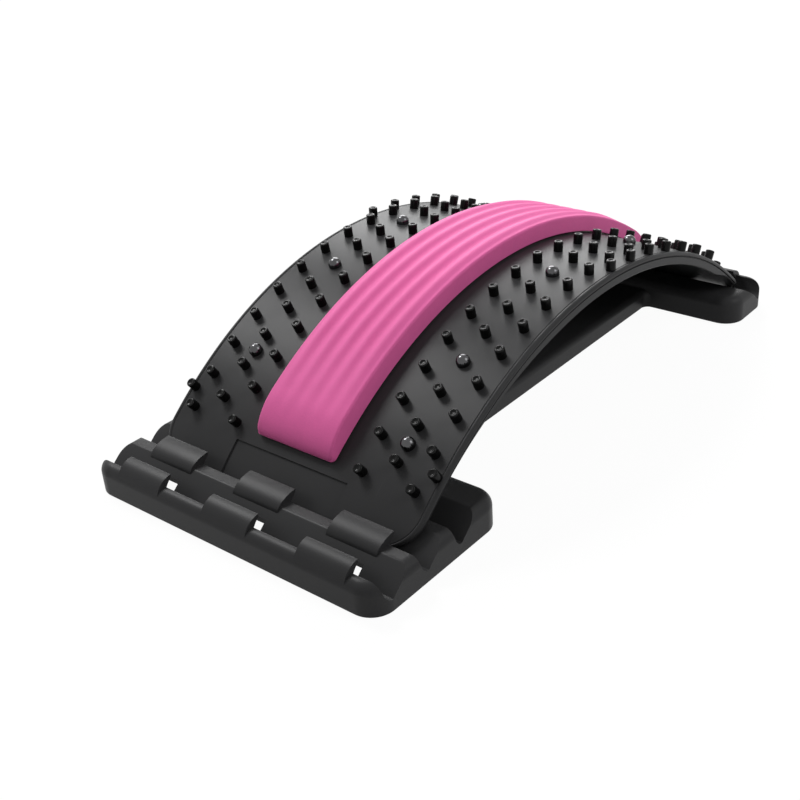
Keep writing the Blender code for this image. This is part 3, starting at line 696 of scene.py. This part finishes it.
def valley_profile(s, row):
    """Side view of the valley behind a ridge: a steep hooked drop and a long ramp."""
    drop = row_drop(s, row)
    depth = s.ridge_top - s.valley_floor
    foot = drop + s.drop_run + s.floor_width
    head = drop + s.row_pitch - s.ridge_width
    above = s.hood_top + CUT_MARGIN
    points = [(drop - s.crease, above)]
    points += arc((drop - s.crease, s.ridge_top - s.crease), s.crease, 90, 0, FILLET_STEPS)
    for step in range(1, DROP_STEPS + 1):
        angle = math.radians(90 * step / DROP_STEPS)
        points.append((drop + s.drop_run * (1 - math.cos(angle)),
                       s.ridge_top - depth * math.sin(angle)))
    for step in range(RAMP_STEPS + 1):
        part = step / RAMP_STEPS
        bulge = s.ramp_bulge * 4 * part * (1 - part)
        points.append((foot + (head - foot) * part - bulge, s.valley_floor + depth * part + bulge))
    corner = len(points) - 1
    points.append((head + s.ridge_width / 2, s.ridge_top))
    points.append((head + s.ridge_width / 2, above))
    return soften(points, {corner: s.ramp_crease})


def hood_profile(s, row):
    """Side view of a hood: a back that swells out of the ridge and a lip over the valley."""
    drop = row_drop(s, row)
    spring = s.ridge_top - (s.hood_swell if row else s.edge_rounding)
    rise = s.hood_top - spring
    tip = drop + s.hood_reach
    back = s.ridge_width + s.hood_reach - HOOD_BACK_INSET + (s.hood_swell if row else 0)
    points = []
    for step in range(HOOD_STEPS + 1):
        angle = math.radians(90 * step / HOOD_STEPS)
        points.append((tip - back * math.cos(angle), spring + rise * math.sin(angle)))
    points.append((tip - HOOD_LIP_LEAN, s.hood_top - s.hood_lip))
    points.append((drop + HOOD_THROAT, s.ridge_top + HOOD_THROAT_RISE))
    points.append((drop + HOOD_ROOT, s.ridge_top - s.hood_lip))
    points.append((drop - s.hood_lip, min(spring, s.ridge_top - 2 * s.hood_lip)))
    return soften(points, {HOOD_STEPS: HOOD_TIP_ROUNDING, HOOD_STEPS + 1: HOOD_TIP_ROUNDING})


def hood_centres(s):
    """Middles of the three hoods of a row, across the base."""
    return [step * s.hood_pitch - s.hood_shift for step in (-1, 0, 1)]


def each_row(s, first=0, past=0):
    """Side, row and centre of every hood, from the first row to some past the last."""
    for side, rows in base_ends(s):
        for row in range(first, rows + past):
            for centre in hood_centres(s):
                yield side, row, centre


def valley_cutters(s):
    shape = bmesh.new()
    half = s.width / 2 + CUT_MARGIN
    for side, rows in base_ends(s):
        for row in range(rows):
            add_prism(shape, at_end(s, side, valley_profile(s, row)), -half, half)
    return shape


def hoods(s):
    shape = bmesh.new()
    half = s.hood_width / 2
    for side, row, centre in each_row(s):
        profile = at_end(s, side, hood_profile(s, row))
        add_prism(shape, profile, centre - half, centre + half, HOOD_END_ROUNDING)
    return shape


def core_holes(s):
    """Openings through the valley under each hood, which the mould's cores leave."""
    shape = bmesh.new()
    half = s.hood_width / 2 - s.hole_side
    for side, row, centre in each_row(s):
        start = row_drop(s, row) + s.hole_start
        end = start + s.hole_depth
        low = s.valley_floor - s.skin - CUT_MARGIN
        high = s.ridge_top - s.hood_lip
        profile = at_end(s, side, [(start, low), (end, low), (end, high), (start, high)])
        add_prism(shape, profile, centre - half, centre + half)
    return shape


def cells(s, lines):
    """Spaces left between ribs whose middles lie on the lines."""
    spaces = [(low + s.wall / 2, high - s.wall / 2) for low, high in zip(lines, lines[1:])]
    return [(low, high) for low, high in spaces if high - low > LEAST_CELL]


def plate_cells(s):
    """Spaces between the lengthwise ribs of a plate, which run beside each hood."""
    beside = s.hood_width / 2 + RIB_CLEARANCE
    side = (s.width - s.wall) / 2
    lines = [-side]
    for centre in hood_centres(s):
        lines += [centre - beside, centre + beside]
    return cells(s, lines + [side])


def ramp_hollow(s, row):
    """Side view of the hollow under a valley, its ramp and the ridge after it."""
    start = row_drop(s, row) if row else s.wall
    end = row_drop(s, row + 1) - s.wall
    foot = row_drop(s, row) + s.drop_run + s.floor_width
    head = row_drop(s, row + 1) - s.ridge_width
    low = s.valley_floor - s.skin
    high = s.ridge_top - s.skin
    return [(start, -CUT_MARGIN), (start, low), (foot, low), (head, high), (end, high),
            (end, -CUT_MARGIN)]


def land_hollow(s, rows):
    """Side view of the hollow under the land behind the last row."""
    start, end = row_drop(s, rows), plate_depth(s, rows) - s.wall
    high = s.ridge_top - s.skin
    return [(start, -CUT_MARGIN), (start, high), (end, high), (end, -CUT_MARGIN)]


def plate_pockets(s, foot_clear):
    """Hollows under the plates; the corners stay solid round the feet."""
    shape = bmesh.new()
    clear = s.width / 2 - foot_clear - s.wall
    for side, rows in base_ends(s):
        hollows = [ramp_hollow(s, row) for row in range(rows)] + [land_hollow(s, rows)]
        for hollow in hollows:
            reach = clear if hollow in (hollows[0], hollows[-1]) else s.width
            for low, high in plate_cells(s):
                low, high = max(low, -reach), min(high, reach)
                if high - low > LEAST_CELL:
                    add_prism(shape, at_end(s, side, hollow), low, high)
    return shape


def rib_notches(s):
    """Low notches in the cross ribs behind each core hole."""
    shape = bmesh.new()
    half = s.hood_width / 2
    for side, row, centre in each_row(s, first=1, past=1):
        start = row_drop(s, row) - s.wall - CUT_MARGIN
        end = row_drop(s, row) + CUT_MARGIN
        profile = at_end(s, side, [(start, -CUT_MARGIN), (end, -CUT_MARGIN),
                                   (end, s.notch_height), (start, s.notch_height)])
        add_prism(shape, profile, centre - half, centre + half)
    return shape


def waist_pockets(s):
    """Hollows under the waist, with cross ribs and a rib down the middle."""
    shape = bmesh.new()
    near, far = waist_ends(s)
    pitch = (far - near + s.wall) / s.waist_cells
    lines_x = [near - s.wall / 2 + index * pitch for index in range(s.waist_cells + 1)]
    side = (s.waist_width - s.wall) / 2
    for start, end in cells(s, lines_x):
        for low, high in cells(s, [-side, 0, side]):
            add_box(shape, (start, low, -CUT_MARGIN), (end, high, s.waist_top - s.wall))
    return shape


def foot_spots(settings):
    """Middles of the four feet, seen from above."""
    x = settings.base.length / 2 - settings.studs.foot_inset
    y = settings.base.width / 2 - settings.studs.foot_inset
    return [(-x, -y), (-x, y), (x, -y), (x, y)]


def foot_sockets(settings):
    shape = bmesh.new()
    radius = settings.studs.foot_diameter / 2 + GAP
    top = settings.studs.foot_thickness + GAP
    for x, y in foot_spots(settings):
        ring = [(x + px, y + py) for px, py in arc((0, 0), radius, 0, 360, STUD_SIDES)[:-1]]
        extrude_outline(shape, ring, -CUT_MARGIN, top)
    return shape


def make_base(settings):
    s = settings.base
    near, far = base_ends(s)
    block = rounded_block(s, plate_outline(s, *near), s.ridge_top, s.edge_rounding)
    base = add_object('base_moulding', block,
                      moulding_finish('satin_black_base', settings.finishes))
    foot_clear = settings.studs.foot_inset + settings.studs.foot_diameter / 2
    for operation, shape in (
            ('UNION', rounded_block(s, waist_outline(s), s.waist_top, s.waist_rounding)),
            ('UNION', rounded_block(s, plate_outline(s, *far), s.ridge_top, s.edge_rounding)),
            ('DIFFERENCE', valley_cutters(s)),
            ('UNION', hoods(s)),
            ('DIFFERENCE', plate_pockets(s, foot_clear)),
            ('DIFFERENCE', rib_notches(s)),
            ('DIFFERENCE', waist_pockets(s)),
            ('DIFFERENCE', core_holes(s)),
            ('DIFFERENCE', foot_sockets(settings))):
        combine(base, operation, shape)
    settle(base)
    if base.dimensions.x < s.length - s.wall:
        raise RuntimeError('the base moulding lost a part')
    shade(base, weighted=True)
    hand_over(base, 'base', ['base_frame'])


# Arch

class ArchPath:
    """Side view of the panel's top face: a crown arc that runs on into two end arcs."""

    def __init__(self, s, centre, half_span, end_height):
        self.centre = centre
        self.crown_radius, self.end_radius = s.crown_radius, s.end_radius
        self.crown_half_arc = s.crown_half_arc
        self.crown_angle = self.crown_half_arc / self.crown_radius
        crown_run = self.crown_radius * math.sin(self.crown_angle)
        end_sine = math.sin(self.crown_angle) + (half_span - crown_run) / self.end_radius
        self.end_angle = math.asin(end_sine)
        self.half_length = (self.crown_half_arc
                            + self.end_radius * (self.end_angle - self.crown_angle))
        self.crown_height = end_height + self.fall(self.end_angle)

    def fall(self, angle):
        """Height lost between the crown and the place where the panel slopes by angle."""
        lost = self.crown_radius * (1 - math.cos(min(angle, self.crown_angle)))
        if angle > self.crown_angle:
            lost += self.end_radius * (math.cos(self.crown_angle) - math.cos(angle))
        return lost

    def run(self, angle):
        """Level distance between the crown and the place where the panel slopes by angle."""
        distance = self.crown_radius * math.sin(min(angle, self.crown_angle))
        if angle > self.crown_angle:
            distance += self.end_radius * (math.sin(angle) - math.sin(self.crown_angle))
        return distance

    def slope(self, along):
        """Slope of the panel at a distance along it, counted from the crown."""
        length = abs(along)
        if length <= self.crown_half_arc:
            return length / self.crown_radius
        return self.crown_angle + (length - self.crown_half_arc) / self.end_radius

    def point(self, along, across, height):
        """Place at a height square to the top face."""
        angle = self.slope(along)
        side = math.copysign(1, along)
        x = self.run(angle) + height * math.sin(angle)
        z = self.crown_height - self.fall(angle) + height * math.cos(angle)
        return Vector((self.centre + side * x, across, z))


def seated_path(settings):
    """Path of the panel's top face that puts the lower edges of its ends in their rows."""
    base, s = settings.base, settings.panel
    near = -(base.length / 2 - row_drop(base, base.seated_row - 1) - s.end_inset)
    far = base.length / 2 - row_drop(base, base.far_rows - 1) - s.end_inset
    centre, half_span = (near + far) / 2, (far - near) / 2
    underside = base.valley_floor + s.end_raise
    path = ArchPath(s, centre, half_span, underside)
    for _ in range(SEATING_ROUNDS):
        span = half_span + s.thickness * math.sin(path.end_angle)
        path = ArchPath(s, centre, span, underside + s.thickness * math.cos(path.end_angle))
    return path


def rounded_half_width(from_end, half, radius):
    """Half width of a strip whose corners are rounded, by distance from its end."""
    if from_end >= radius:
        return half
    return half - radius + math.sqrt(max(radius ** 2 - (radius - from_end) ** 2, 0))


def rounded_drop(from_end, radius):
    """How far a face falls away near an end that is rounded."""
    return radius - math.sqrt(max(radius ** 2 - max(radius - from_end, 0) ** 2, 0))


def recess_start(settings, path):
    """Distance from the crown to the recess before an end."""
    return path.half_length - settings.pad.end_margin + settings.panel.recess_from_pad


def mirrored(marks):
    """Rising list of distances on both sides of the crown."""
    marks = sorted(marks)
    return [-mark for mark in reversed(marks)] + [0] + marks


def even(length):
    """Evenly spaced distances from the crown to a length."""
    return [length * step / ARCH_STEPS * 2 for step in range(1, ARCH_STEPS // 2 + 1)]


def quarter(start, radius, steps):
    """Distances that follow a rounded corner from its start to its end."""
    angles = (math.radians(90 * step / steps) for step in range(1, steps + 1))
    return [start + radius * math.sin(angle) for angle in angles]


def panel_stations(settings, path):
    s = settings.panel
    straight = path.half_length - s.corner_radius
    begin = recess_start(settings, path)
    marks = even(straight) + quarter(straight, s.corner_radius, CORNER_STEPS)
    marks += quarter(path.half_length - s.end_rounding, s.end_rounding, SHOULDER_STEPS)[:-1]
    marks = [mark for mark in marks if abs(mark - begin) > RECESS_CLEARANCE]
    marks += [begin, begin + s.recess_draft]
    return mirrored(set(marks))


def rim_depth(s, path, along):
    """Depth of the turned-down rim, which thins out before the ends."""
    from_end = path.half_length - abs(along)
    start = s.near_taper_start if along < 0 else s.taper_start
    part = min(max((from_end - s.taper_end) / (start - s.taper_end), 0), 1)
    eased = part * part * (3 - 2 * part)
    return s.rim_end_depth + (s.rim_depth - s.rim_end_depth) * eased


def panel_section(settings, path, along):
    """Section of the panel: its face, a groove, a rounded shoulder, a groove and the rim."""
    s = settings.panel
    from_end = path.half_length - abs(along)
    half = rounded_half_width(from_end, s.width / 2, s.corner_radius)
    recess = s.recess_depth if abs(along) > recess_start(settings, path) else 0
    edge = s.recess_width / 2
    rim = rim_depth(s, path, along)
    groove, rise = s.bead_groove, s.bead_rise
    inner = half - s.bead_width
    slope = SHOULDER_SLOPE * s.bead_width
    radius = SHOULDER_ROUNDING * s.bead_width
    low = rise - radius - slope
    side = [(edge - s.recess_draft, -recess), (edge, 0)]
    side += [(inner + groove * out, groove * up) for out, up in FACE_GROOVE]
    side.append((inner + slope, rise))
    side += arc((half - radius, rise - radius), radius, 90, 0, SHOULDER_STEPS)
    side += [(half + groove * out, low + groove * up) for out, up in RIM_GROOVE]
    face, wall = side[-1][0], half - s.rim_wall
    side += [(face, -rim + RIM_BEVEL), (face - RIM_BEVEL, -rim)]
    side += [(wall + RIM_BEVEL, -rim), (wall, -rim + RIM_BEVEL), (wall, -s.thickness)]
    drop = rounded_drop(from_end, s.end_rounding)
    lowest = -s.rim_end_depth + drop if from_end < s.end_rounding else -s.rim_depth
    side = [(y, min(max(height, lowest), rise - drop)) for y, height in side]
    across = side + [(-y, height) for y, height in reversed(side)]
    return [path.point(along, y, height) for y, height in across]


def make_panel(settings, path):
    shape = bmesh.new()
    stations = panel_stations(settings, path)
    add_loft(shape, [panel_section(settings, path, along) for along in stations])
    bmesh.ops.remove_doubles(shape, verts=shape.verts, dist=MERGE_DISTANCE)
    panel = add_object('arched_panel', shape,
                       moulding_finish('satin_black_panel', settings.finishes))
    shade(panel, weighted=True)
    hand_over(panel, 'arch', ['arch_panel'])


# Knobs, magnets and feet

def stud_tree():
    """Geometry Nodes group: a turned stud on every point, with a rounded, dished or domed top."""
    name = 'studs_on_points'
    if name in bpy.data.node_groups:
        return bpy.data.node_groups[name]
    lengths = ('Radius', 'Height', 'Root', 'Edge Rounding', 'Dish Depth', 'Dish Radius',
               'Dome Rise')
    tree, given, result = new_tree(
        name, 'GeometryNodeTree',
        [('Points', 'NodeSocketGeometry')] + [(label, 'NodeSocketFloat') for label in lengths]
        + [('Sides', 'NodeSocketInt'), ('Rings', 'NodeSocketInt'),
           ('Finish', 'NodeSocketMaterial')],
        [('Studs', 'NodeSocketGeometry')])
    calc = partial(maths, tree)
    radius, height, root = given['Radius'], given['Height'], given['Root']
    rounding = given['Edge Rounding']

    # Plain cylinder from the root up to the height
    blank = add_node(tree, 'GeometryNodeMeshCylinder', {
        'Vertices': given['Sides'], 'Fill Segments': given['Rings'], 'Radius': radius,
        'Depth': calc('ADD', height, root)}, fill_type='TRIANGLE_FAN')
    middle = calc('MULTIPLY', calc('SUBTRACT', height, root), 0.5)
    lift = add_node(tree, 'ShaderNodeCombineXYZ', {'Z': middle})
    raised = add_node(tree, 'GeometryNodeTransform', {'Geometry': blank.outputs['Mesh'],
                                                      'Translation': lift.outputs[0]})

    # Rings of the top drawn closer together towards its edge
    place = add_node(tree, 'GeometryNodeInputPosition').outputs[0]
    x, y, z = add_node(tree, 'ShaderNodeSeparateXYZ', {0: place}).outputs
    reach = calc('SQRT', calc('ADD', calc('MULTIPLY', x, x), calc('MULTIPLY', y, y)))
    angle = calc('MULTIPLY', calc('DIVIDE', reach, radius), math.pi / 2)
    spread = calc('MULTIPLY', calc('SINE', angle), radius)
    scale = calc('DIVIDE', spread, reach)

    # Fall of the top: its rounded edge, its dish and its dome
    inner = calc('SUBTRACT', radius, rounding)
    past = calc('MAXIMUM', calc('SUBTRACT', spread, inner), 0)
    left = calc('SUBTRACT', calc('MULTIPLY', rounding, rounding), calc('MULTIPLY', past, past))
    edge = calc('SUBTRACT', rounding, calc('SQRT', calc('MAXIMUM', left, 0)))
    dish = add_node(tree, 'ShaderNodeMapRange', {
        'Value': spread, 'From Min': calc('MULTIPLY', given['Dish Radius'], DISH_FLOOR),
        'From Max': given['Dish Radius'], 'To Min': given['Dish Depth'], 'To Max': 0},
        interpolation_type='SMOOTHSTEP').outputs[0]
    part = calc('DIVIDE', spread, radius)
    level = calc('MAXIMUM', calc('SUBTRACT', 1, calc('MULTIPLY', part, part)), 0)
    dome = calc('MULTIPLY', calc('SUBTRACT', 1, calc('SQRT', level)), given['Dome Rise'])
    drop = calc('ADD', calc('ADD', edge, dish), dome)
    on_top = calc('GREATER_THAN', z, middle)
    turned = add_node(tree, 'ShaderNodeCombineXYZ', {
        'X': calc('MULTIPLY', x, scale), 'Y': calc('MULTIPLY', y, scale),
        'Z': calc('SUBTRACT', z, calc('MULTIPLY', drop, on_top))})
    stud = add_node(tree, 'GeometryNodeSetPosition', {'Geometry': raised.outputs[0],
                                                      'Position': turned.outputs[0]})

    # One stud on every point, leaning with the panel
    slope = add_node(tree, 'GeometryNodeInputNamedAttribute', {'Name': 'slope'},
                     data_type='FLOAT')
    lean = add_node(tree, 'ShaderNodeCombineXYZ', {'Y': slope.outputs['Attribute']})
    spots = add_node(tree, 'GeometryNodeInstanceOnPoints', {
        'Points': given['Points'], 'Instance': stud.outputs[0], 'Rotation': lean.outputs[0]})
    solid = add_node(tree, 'GeometryNodeRealizeInstances', {'Geometry': spots.outputs[0]})
    finished = add_node(tree, 'GeometryNodeSetMaterial', {'Geometry': solid.outputs[0],
                                                          'Material': given['Finish']})
    tree.links.new(finished.outputs[0], result['Studs'])
    return tree


def set_studs(name, spots, sizes, finish):
    """Put a stud on each spot, given as its place and the slope of what it stands on."""
    mesh = bpy.data.meshes.new(name)
    mesh.from_pydata([place for place, _ in spots], [], [])
    slopes = mesh.attributes.new('slope', 'FLOAT', 'POINT')
    slopes.data.foreach_set('value', [slope for _, slope in spots])
    piece = bpy.data.objects.new(name, mesh)
    bpy.context.scene.collection.objects.link(piece)
    tree = stud_tree()
    modifier = piece.modifiers.new('studs', 'NODES')
    modifier.node_group = tree
    sockets = {item.name: item.identifier for item in tree.interface.items_tree
               if item.in_out == 'INPUT'}
    for label, value in {**sizes, 'Sides': STUD_SIDES, 'Finish': finish}.items():
        modifier[sockets[label]] = value
    settle(piece)
    shade(piece)
    return piece


def stud_spots(path, places):
    """Place on the panel's top face and slope there, from distances along and across it."""
    return [(path.point(along, across, 0), math.copysign(path.slope(along), along))
            for along, across in places]


def knob_columns(settings):
    """Distances of the columns from the middle: inner, middle, outer and rim."""
    s, half = settings.studs, settings.panel.width / 2
    inner = settings.pad.width / 2 + s.inner_column
    outer = half - s.outer_column
    return inner, (inner + outer) / 2, outer, half - s.rim_column


def knob_places(settings, path):
    """Knobs on the rows in the inner and outer columns, and between them in the middle one."""
    s = settings.studs
    inner, middle, outer, rim = knob_columns(settings)
    last = int((path.half_length - s.knob_end_margin) / s.knob_pitch)
    whole = range(-last, last + 1)
    halves = [row + 0.5 for row in range(-last, last)]
    places = []
    for side, magnet_rows in ((-1, MAGNET_ROWS_RIGHT), (1, MAGNET_ROWS_LEFT)):
        places += [(row, side * inner) for row in whole]
        places += [(row, side * middle) for row in halves if row not in magnet_rows]
        places += [(row, side * outer) for row in whole]
        places += [(row, side * rim) for row in RIM_ROWS if abs(row) < last]
    return [(row * s.knob_pitch, across) for row, across in places]


def magnet_places(settings, path):
    """Magnets in the middle columns, in place of a knob or between two."""
    s = settings.studs
    reach = (path.half_length - s.knob_end_margin) / s.knob_pitch
    middle = knob_columns(settings)[1]
    return [(math.copysign(min(abs(row), reach), row) * s.knob_pitch, side * middle)
            for side, rows in ((-1, MAGNET_ROWS_RIGHT), (1, MAGNET_ROWS_LEFT)) for row in rows]


def make_knobs(settings, path):
    s = settings.studs
    finish = moulded_finish('glossy_black_knobs', settings.finishes.knobs,
                            settings.finishes.knob_roughness,
                            grain=1800, relief=0.02 * MM, marks=0.2, shine=0.12)
    sizes = {'Radius': s.knob_diameter / 2, 'Height': s.knob_height, 'Root': s.knob_root,
             'Edge Rounding': s.knob_rounding, 'Dish Depth': s.knob_dish,
             'Dish Radius': KNOB_DISH * s.knob_diameter / 2, 'Rings': STUD_RINGS}
    spots = stud_spots(path, knob_places(settings, path))
    knobs = set_studs('massage_knobs', spots, sizes, finish)
    hand_over(knobs, 'arch', ['arch_panel'])


def make_magnets(settings, path):
    s = settings.studs
    finish = plated_finish(settings.finishes.chrome)
    sizes = {'Radius': s.magnet_diameter / 2, 'Height': s.magnet_height, 'Root': -MAGNET_LIFT,
             'Dome Rise': s.magnet_height - s.magnet_brim, 'Rings': DOME_RINGS}
    spots = stud_spots(path, magnet_places(settings, path))
    magnets = set_studs('domed_magnets', spots, sizes, finish)
    hand_over(magnets, 'arch', MAGNET_NODES)


def make_feet(settings):
    s = settings.studs
    finish = moulded_finish('black_rubber', settings.finishes.rubber, roughness=0.8,
                            grain=900, relief=0.08 * MM, marks=0.1)
    sizes = {'Radius': s.foot_diameter / 2, 'Height': s.foot_thickness,
             'Edge Rounding': s.foot_rounding, 'Dish Depth': s.foot_dish,
             'Dish Radius': FOOT_DISH * s.foot_diameter / 2, 'Rings': STUD_RINGS}
    upside_down = math.pi
    spots = [(Vector((x, y, s.foot_thickness)), upside_down) for x, y in foot_spots(settings)]
    feet = set_studs('rubber_feet', spots, sizes, finish)
    hand_over(feet, 'base', FOOT_NODES)


# Pad

def pad_half_length(settings, path):
    return path.half_length - settings.pad.end_margin


def pad_height(settings, path, along, across, half):
    """Height of the pad's top face, with waves that fade towards the ends."""
    s = settings.pad
    from_end = pad_half_length(settings, path) - abs(along)
    height = s.thickness
    if from_end < s.end_rounding:
        part = 1 - from_end / s.end_rounding
        full = (1 - part ** 2) ** PAD_END_POWER
        height = s.end_thickness + (s.thickness - s.end_thickness) * full
    fade = min(max((from_end - s.end_rounding / 2) / s.wave_fade, 0), 1)
    phase = math.pi * (s.waves * across / half + s.waves - 1)
    return height + s.wave_height * fade * (1 + math.cos(phase)) / 2


def pad_section(settings, path, along):
    s = settings.pad
    seat = 2 * GAP + s.film_thickness
    from_end = pad_half_length(settings, path) - abs(along)
    half = rounded_half_width(from_end, s.width / 2, s.corner_radius)
    flat = half - s.side_draw - s.edge_rounding
    steps = WAVE_STEPS * s.waves
    top = []
    for step in range(steps + 1):
        across = flat * (1 - 2 * step / steps)
        top.append((across, seat + pad_height(settings, path, along, across, flat)))
    shoulder = top[0][1] - seat
    drop = min(s.edge_rounding, shoulder - s.skirt)
    side = [(half - PAD_FOOT_BEVEL, seat), (half, seat + PAD_FOOT_BEVEL),
            (half, seat + s.skirt)]
    for step in range(PAD_EDGE_STEPS):
        angle = math.radians(90 * step / PAD_EDGE_STEPS)
        edge = flat + s.edge_rounding * math.cos(angle)
        side.append((edge, seat + shoulder - drop * (1 - math.sin(angle))))
    other = [(-across, height) for across, height in reversed(side)]
    return [path.point(along, across, height) for across, height in side + top + other]


def make_pad(settings, path):
    s = settings.pad
    straight = pad_half_length(settings, path) - s.end_rounding
    marks = even(straight) + quarter(straight, s.end_rounding, PAD_END_STEPS)
    shape = bmesh.new()
    add_loft(shape, [pad_section(settings, path, along) for along in mirrored(marks)])
    pad = add_object('foam_pad', shape, foam_finish(settings.finishes.foam))
    shade(pad)
    hand_over(pad, 'arch', ['lumbar_pad'])


def finish_film(settings):
    """Give the adhesive film, whose CAD shape stays, its finish."""
    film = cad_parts['pad_adhesive_film']
    film.data.materials.clear()
    film.data.materials.append(film_finish(settings.finishes.film))


# Studio

def seen_rays(tree):
    """One for rays that show the background itself or its mirror image."""
    rays = tree.nodes.new('ShaderNodeLightPath').outputs
    seen = maths(tree, 'MAXIMUM', rays['Is Camera Ray'], rays['Is Glossy Ray'])
    return maths(tree, 'MAXIMUM', seen, rays['Is Transmission Ray'])


def make_floor(s):
    material, tree, shader, where = new_material('pale_floor')
    tone = between(tree, noise(tree, where, scale=3, detail=2), *FLOOR_TONES)
    tree.links.new(tone, shader.inputs['Base Color'])
    shader.inputs['Roughness'].default_value = 0.9
    glow = add_node(tree, 'ShaderNodeEmission', {'Strength': FLOOR_GLOW})
    seen = maths(tree, 'MULTIPLY', seen_rays(tree), 1 - s.floor_shadow)
    mix = add_node(tree, 'ShaderNodeMixShader', {0: seen, 1: shader.outputs[0],
                                                 2: glow.outputs[0]})
    tree.links.new(mix.outputs[0], tree.nodes['Material Output'].inputs['Surface'])
    shape = bmesh.new()
    bmesh.ops.create_grid(shape, x_segments=1, y_segments=1, size=FLOOR_SIZE)
    add_object('floor', shape, material)


def make_world(s):
    world = bpy.data.worlds.new('studio')
    world.use_nodes = True
    tree = world.node_tree
    sky = tree.nodes['Background']
    sky.inputs['Color'].default_value = (1, 1, 1, 1)
    tree.links.new(between(tree, seen_rays(tree), s.sky_light, 1), sky.inputs['Strength'])
    bpy.context.scene.world = world


def make_lamps(s):
    for name, (width, place) in LAMPS.items():
        data = bpy.data.lights.new(name, 'AREA')
        data.energy = getattr(s, f'{name}_power')
        data.size = width
        lamp = bpy.data.objects.new(name, data)
        bpy.context.scene.collection.objects.link(lamp)
        lamp.location = place
        aim = Vector(LAMP_TARGET) - Vector(place)
        lamp.rotation_euler = aim.to_track_quat('-Z', 'Y').to_euler()


def make_camera():
    """Camera at the photograph's viewing angle, a little rolled as the photograph is."""
    data = bpy.data.cameras.new('camera')
    data.sensor_width = SENSOR_WIDTH
    data.lens = CAMERA_LENS
    yaw, pitch, roll = map(math.radians, (CAMERA_YAW, CAMERA_PITCH, CAMERA_ROLL))
    forward = Vector((math.cos(yaw) * math.cos(pitch), math.sin(yaw) * math.cos(pitch),
                      -math.sin(pitch)))
    level = forward.cross(Vector((0, 0, 1))).normalized()
    upright = level.cross(forward)
    right = math.cos(roll) * level + math.sin(roll) * upright
    up = math.cos(roll) * upright - math.sin(roll) * level
    turn = Matrix((right, up, -forward)).transposed().to_4x4()
    camera = bpy.data.objects.new('camera', data)
    bpy.context.scene.collection.objects.link(camera)
    camera.matrix_world = Matrix.Translation(CAMERA_PLACE) @ turn
    bpy.context.scene.camera = camera


def make_stage(settings):
    s = settings.stage
    make_world(s)
    make_floor(s)
    make_lamps(s)
    make_camera()
    bpy.context.scene.view_settings.view_transform = 'Standard'


# Operators

class STRETCHER_OT_base(Operator):
    """Make the base moulding with its rows of hooks"""
    bl_idname = 'stretcher.base'
    bl_label = 'Base Moulding'

    def execute(self, context):
        make_base(context.scene.stretcher)
        return {'FINISHED'}


class STRETCHER_OT_feet(Operator):
    """Set the rubber feet under the base"""
    bl_idname = 'stretcher.feet'
    bl_label = 'Rubber Feet'

    def execute(self, context):
        make_feet(context.scene.stretcher)
        return {'FINISHED'}


class STRETCHER_OT_panel(Operator):
    """Make the arched panel with its rim and recesses"""
    bl_idname = 'stretcher.panel'
    bl_label = 'Arched Panel'

    def execute(self, context):
        settings = context.scene.stretcher
        make_panel(settings, seated_path(settings))
        return {'FINISHED'}


class STRETCHER_OT_knobs(Operator):
    """Set the massage knobs on the panel"""
    bl_idname = 'stretcher.knobs'
    bl_label = 'Massage Knobs'

    def execute(self, context):
        settings = context.scene.stretcher
        make_knobs(settings, seated_path(settings))
        return {'FINISHED'}


class STRETCHER_OT_magnets(Operator):
    """Set the domed magnets on the panel"""
    bl_idname = 'stretcher.magnets'
    bl_label = 'Domed Magnets'

    def execute(self, context):
        settings = context.scene.stretcher
        make_magnets(settings, seated_path(settings))
        return {'FINISHED'}


class STRETCHER_OT_pad(Operator):
    """Make the ribbed foam pad and finish the film that holds it"""
    bl_idname = 'stretcher.pad'
    bl_label = 'Foam Pad'

    def execute(self, context):
        settings = context.scene.stretcher
        make_pad(settings, seated_path(settings))
        finish_film(settings)
        return {'FINISHED'}


class STRETCHER_OT_stage(Operator):
    """Set up the floor, the light and the camera"""
    bl_idname = 'stretcher.stage'
    bl_label = 'Stage'

    def execute(self, context):
        make_stage(context.scene.stretcher)
        return {'FINISHED'}


OPERATORS = (STRETCHER_OT_base, STRETCHER_OT_feet, STRETCHER_OT_panel, STRETCHER_OT_knobs,
             STRETCHER_OT_magnets, STRETCHER_OT_pad, STRETCHER_OT_stage)


class STRETCHER_PT_sidebar(Panel):
    bl_label = 'Back Stretcher'
    bl_space_type = 'VIEW_3D'
    bl_region_type = 'UI'
    bl_category = 'Stretcher'

    def draw(self, context):
        for operator in OPERATORS:
            self.layout.operator(operator.bl_idname)
        settings = context.scene.stretcher
        for name in StretcherSettings.__annotations__:
            group = getattr(settings, name)
            box = self.layout.box()
            box.label(text=name.capitalize())
            for entry in type(group).__annotations__:
                box.prop(group, entry)


CLASSES = (BaseSizes, PanelSizes, StudSizes, PadSizes, FinishColours, StageSettings,
           StretcherSettings, *OPERATORS, STRETCHER_PT_sidebar)


def register():
    for item in CLASSES:
        bpy.utils.register_class(item)
    bpy.types.Scene.stretcher = PointerProperty(type=StretcherSettings)


def unregister():
    del bpy.types.Scene.stretcher
    for item in reversed(CLASSES):
        bpy.utils.unregister_class(item)


def main():
    register()
    for operator in OPERATORS:
        getattr(bpy.ops.stretcher, operator.bl_idname.split('.')[1])()


if __name__ == '__main__':
    main()
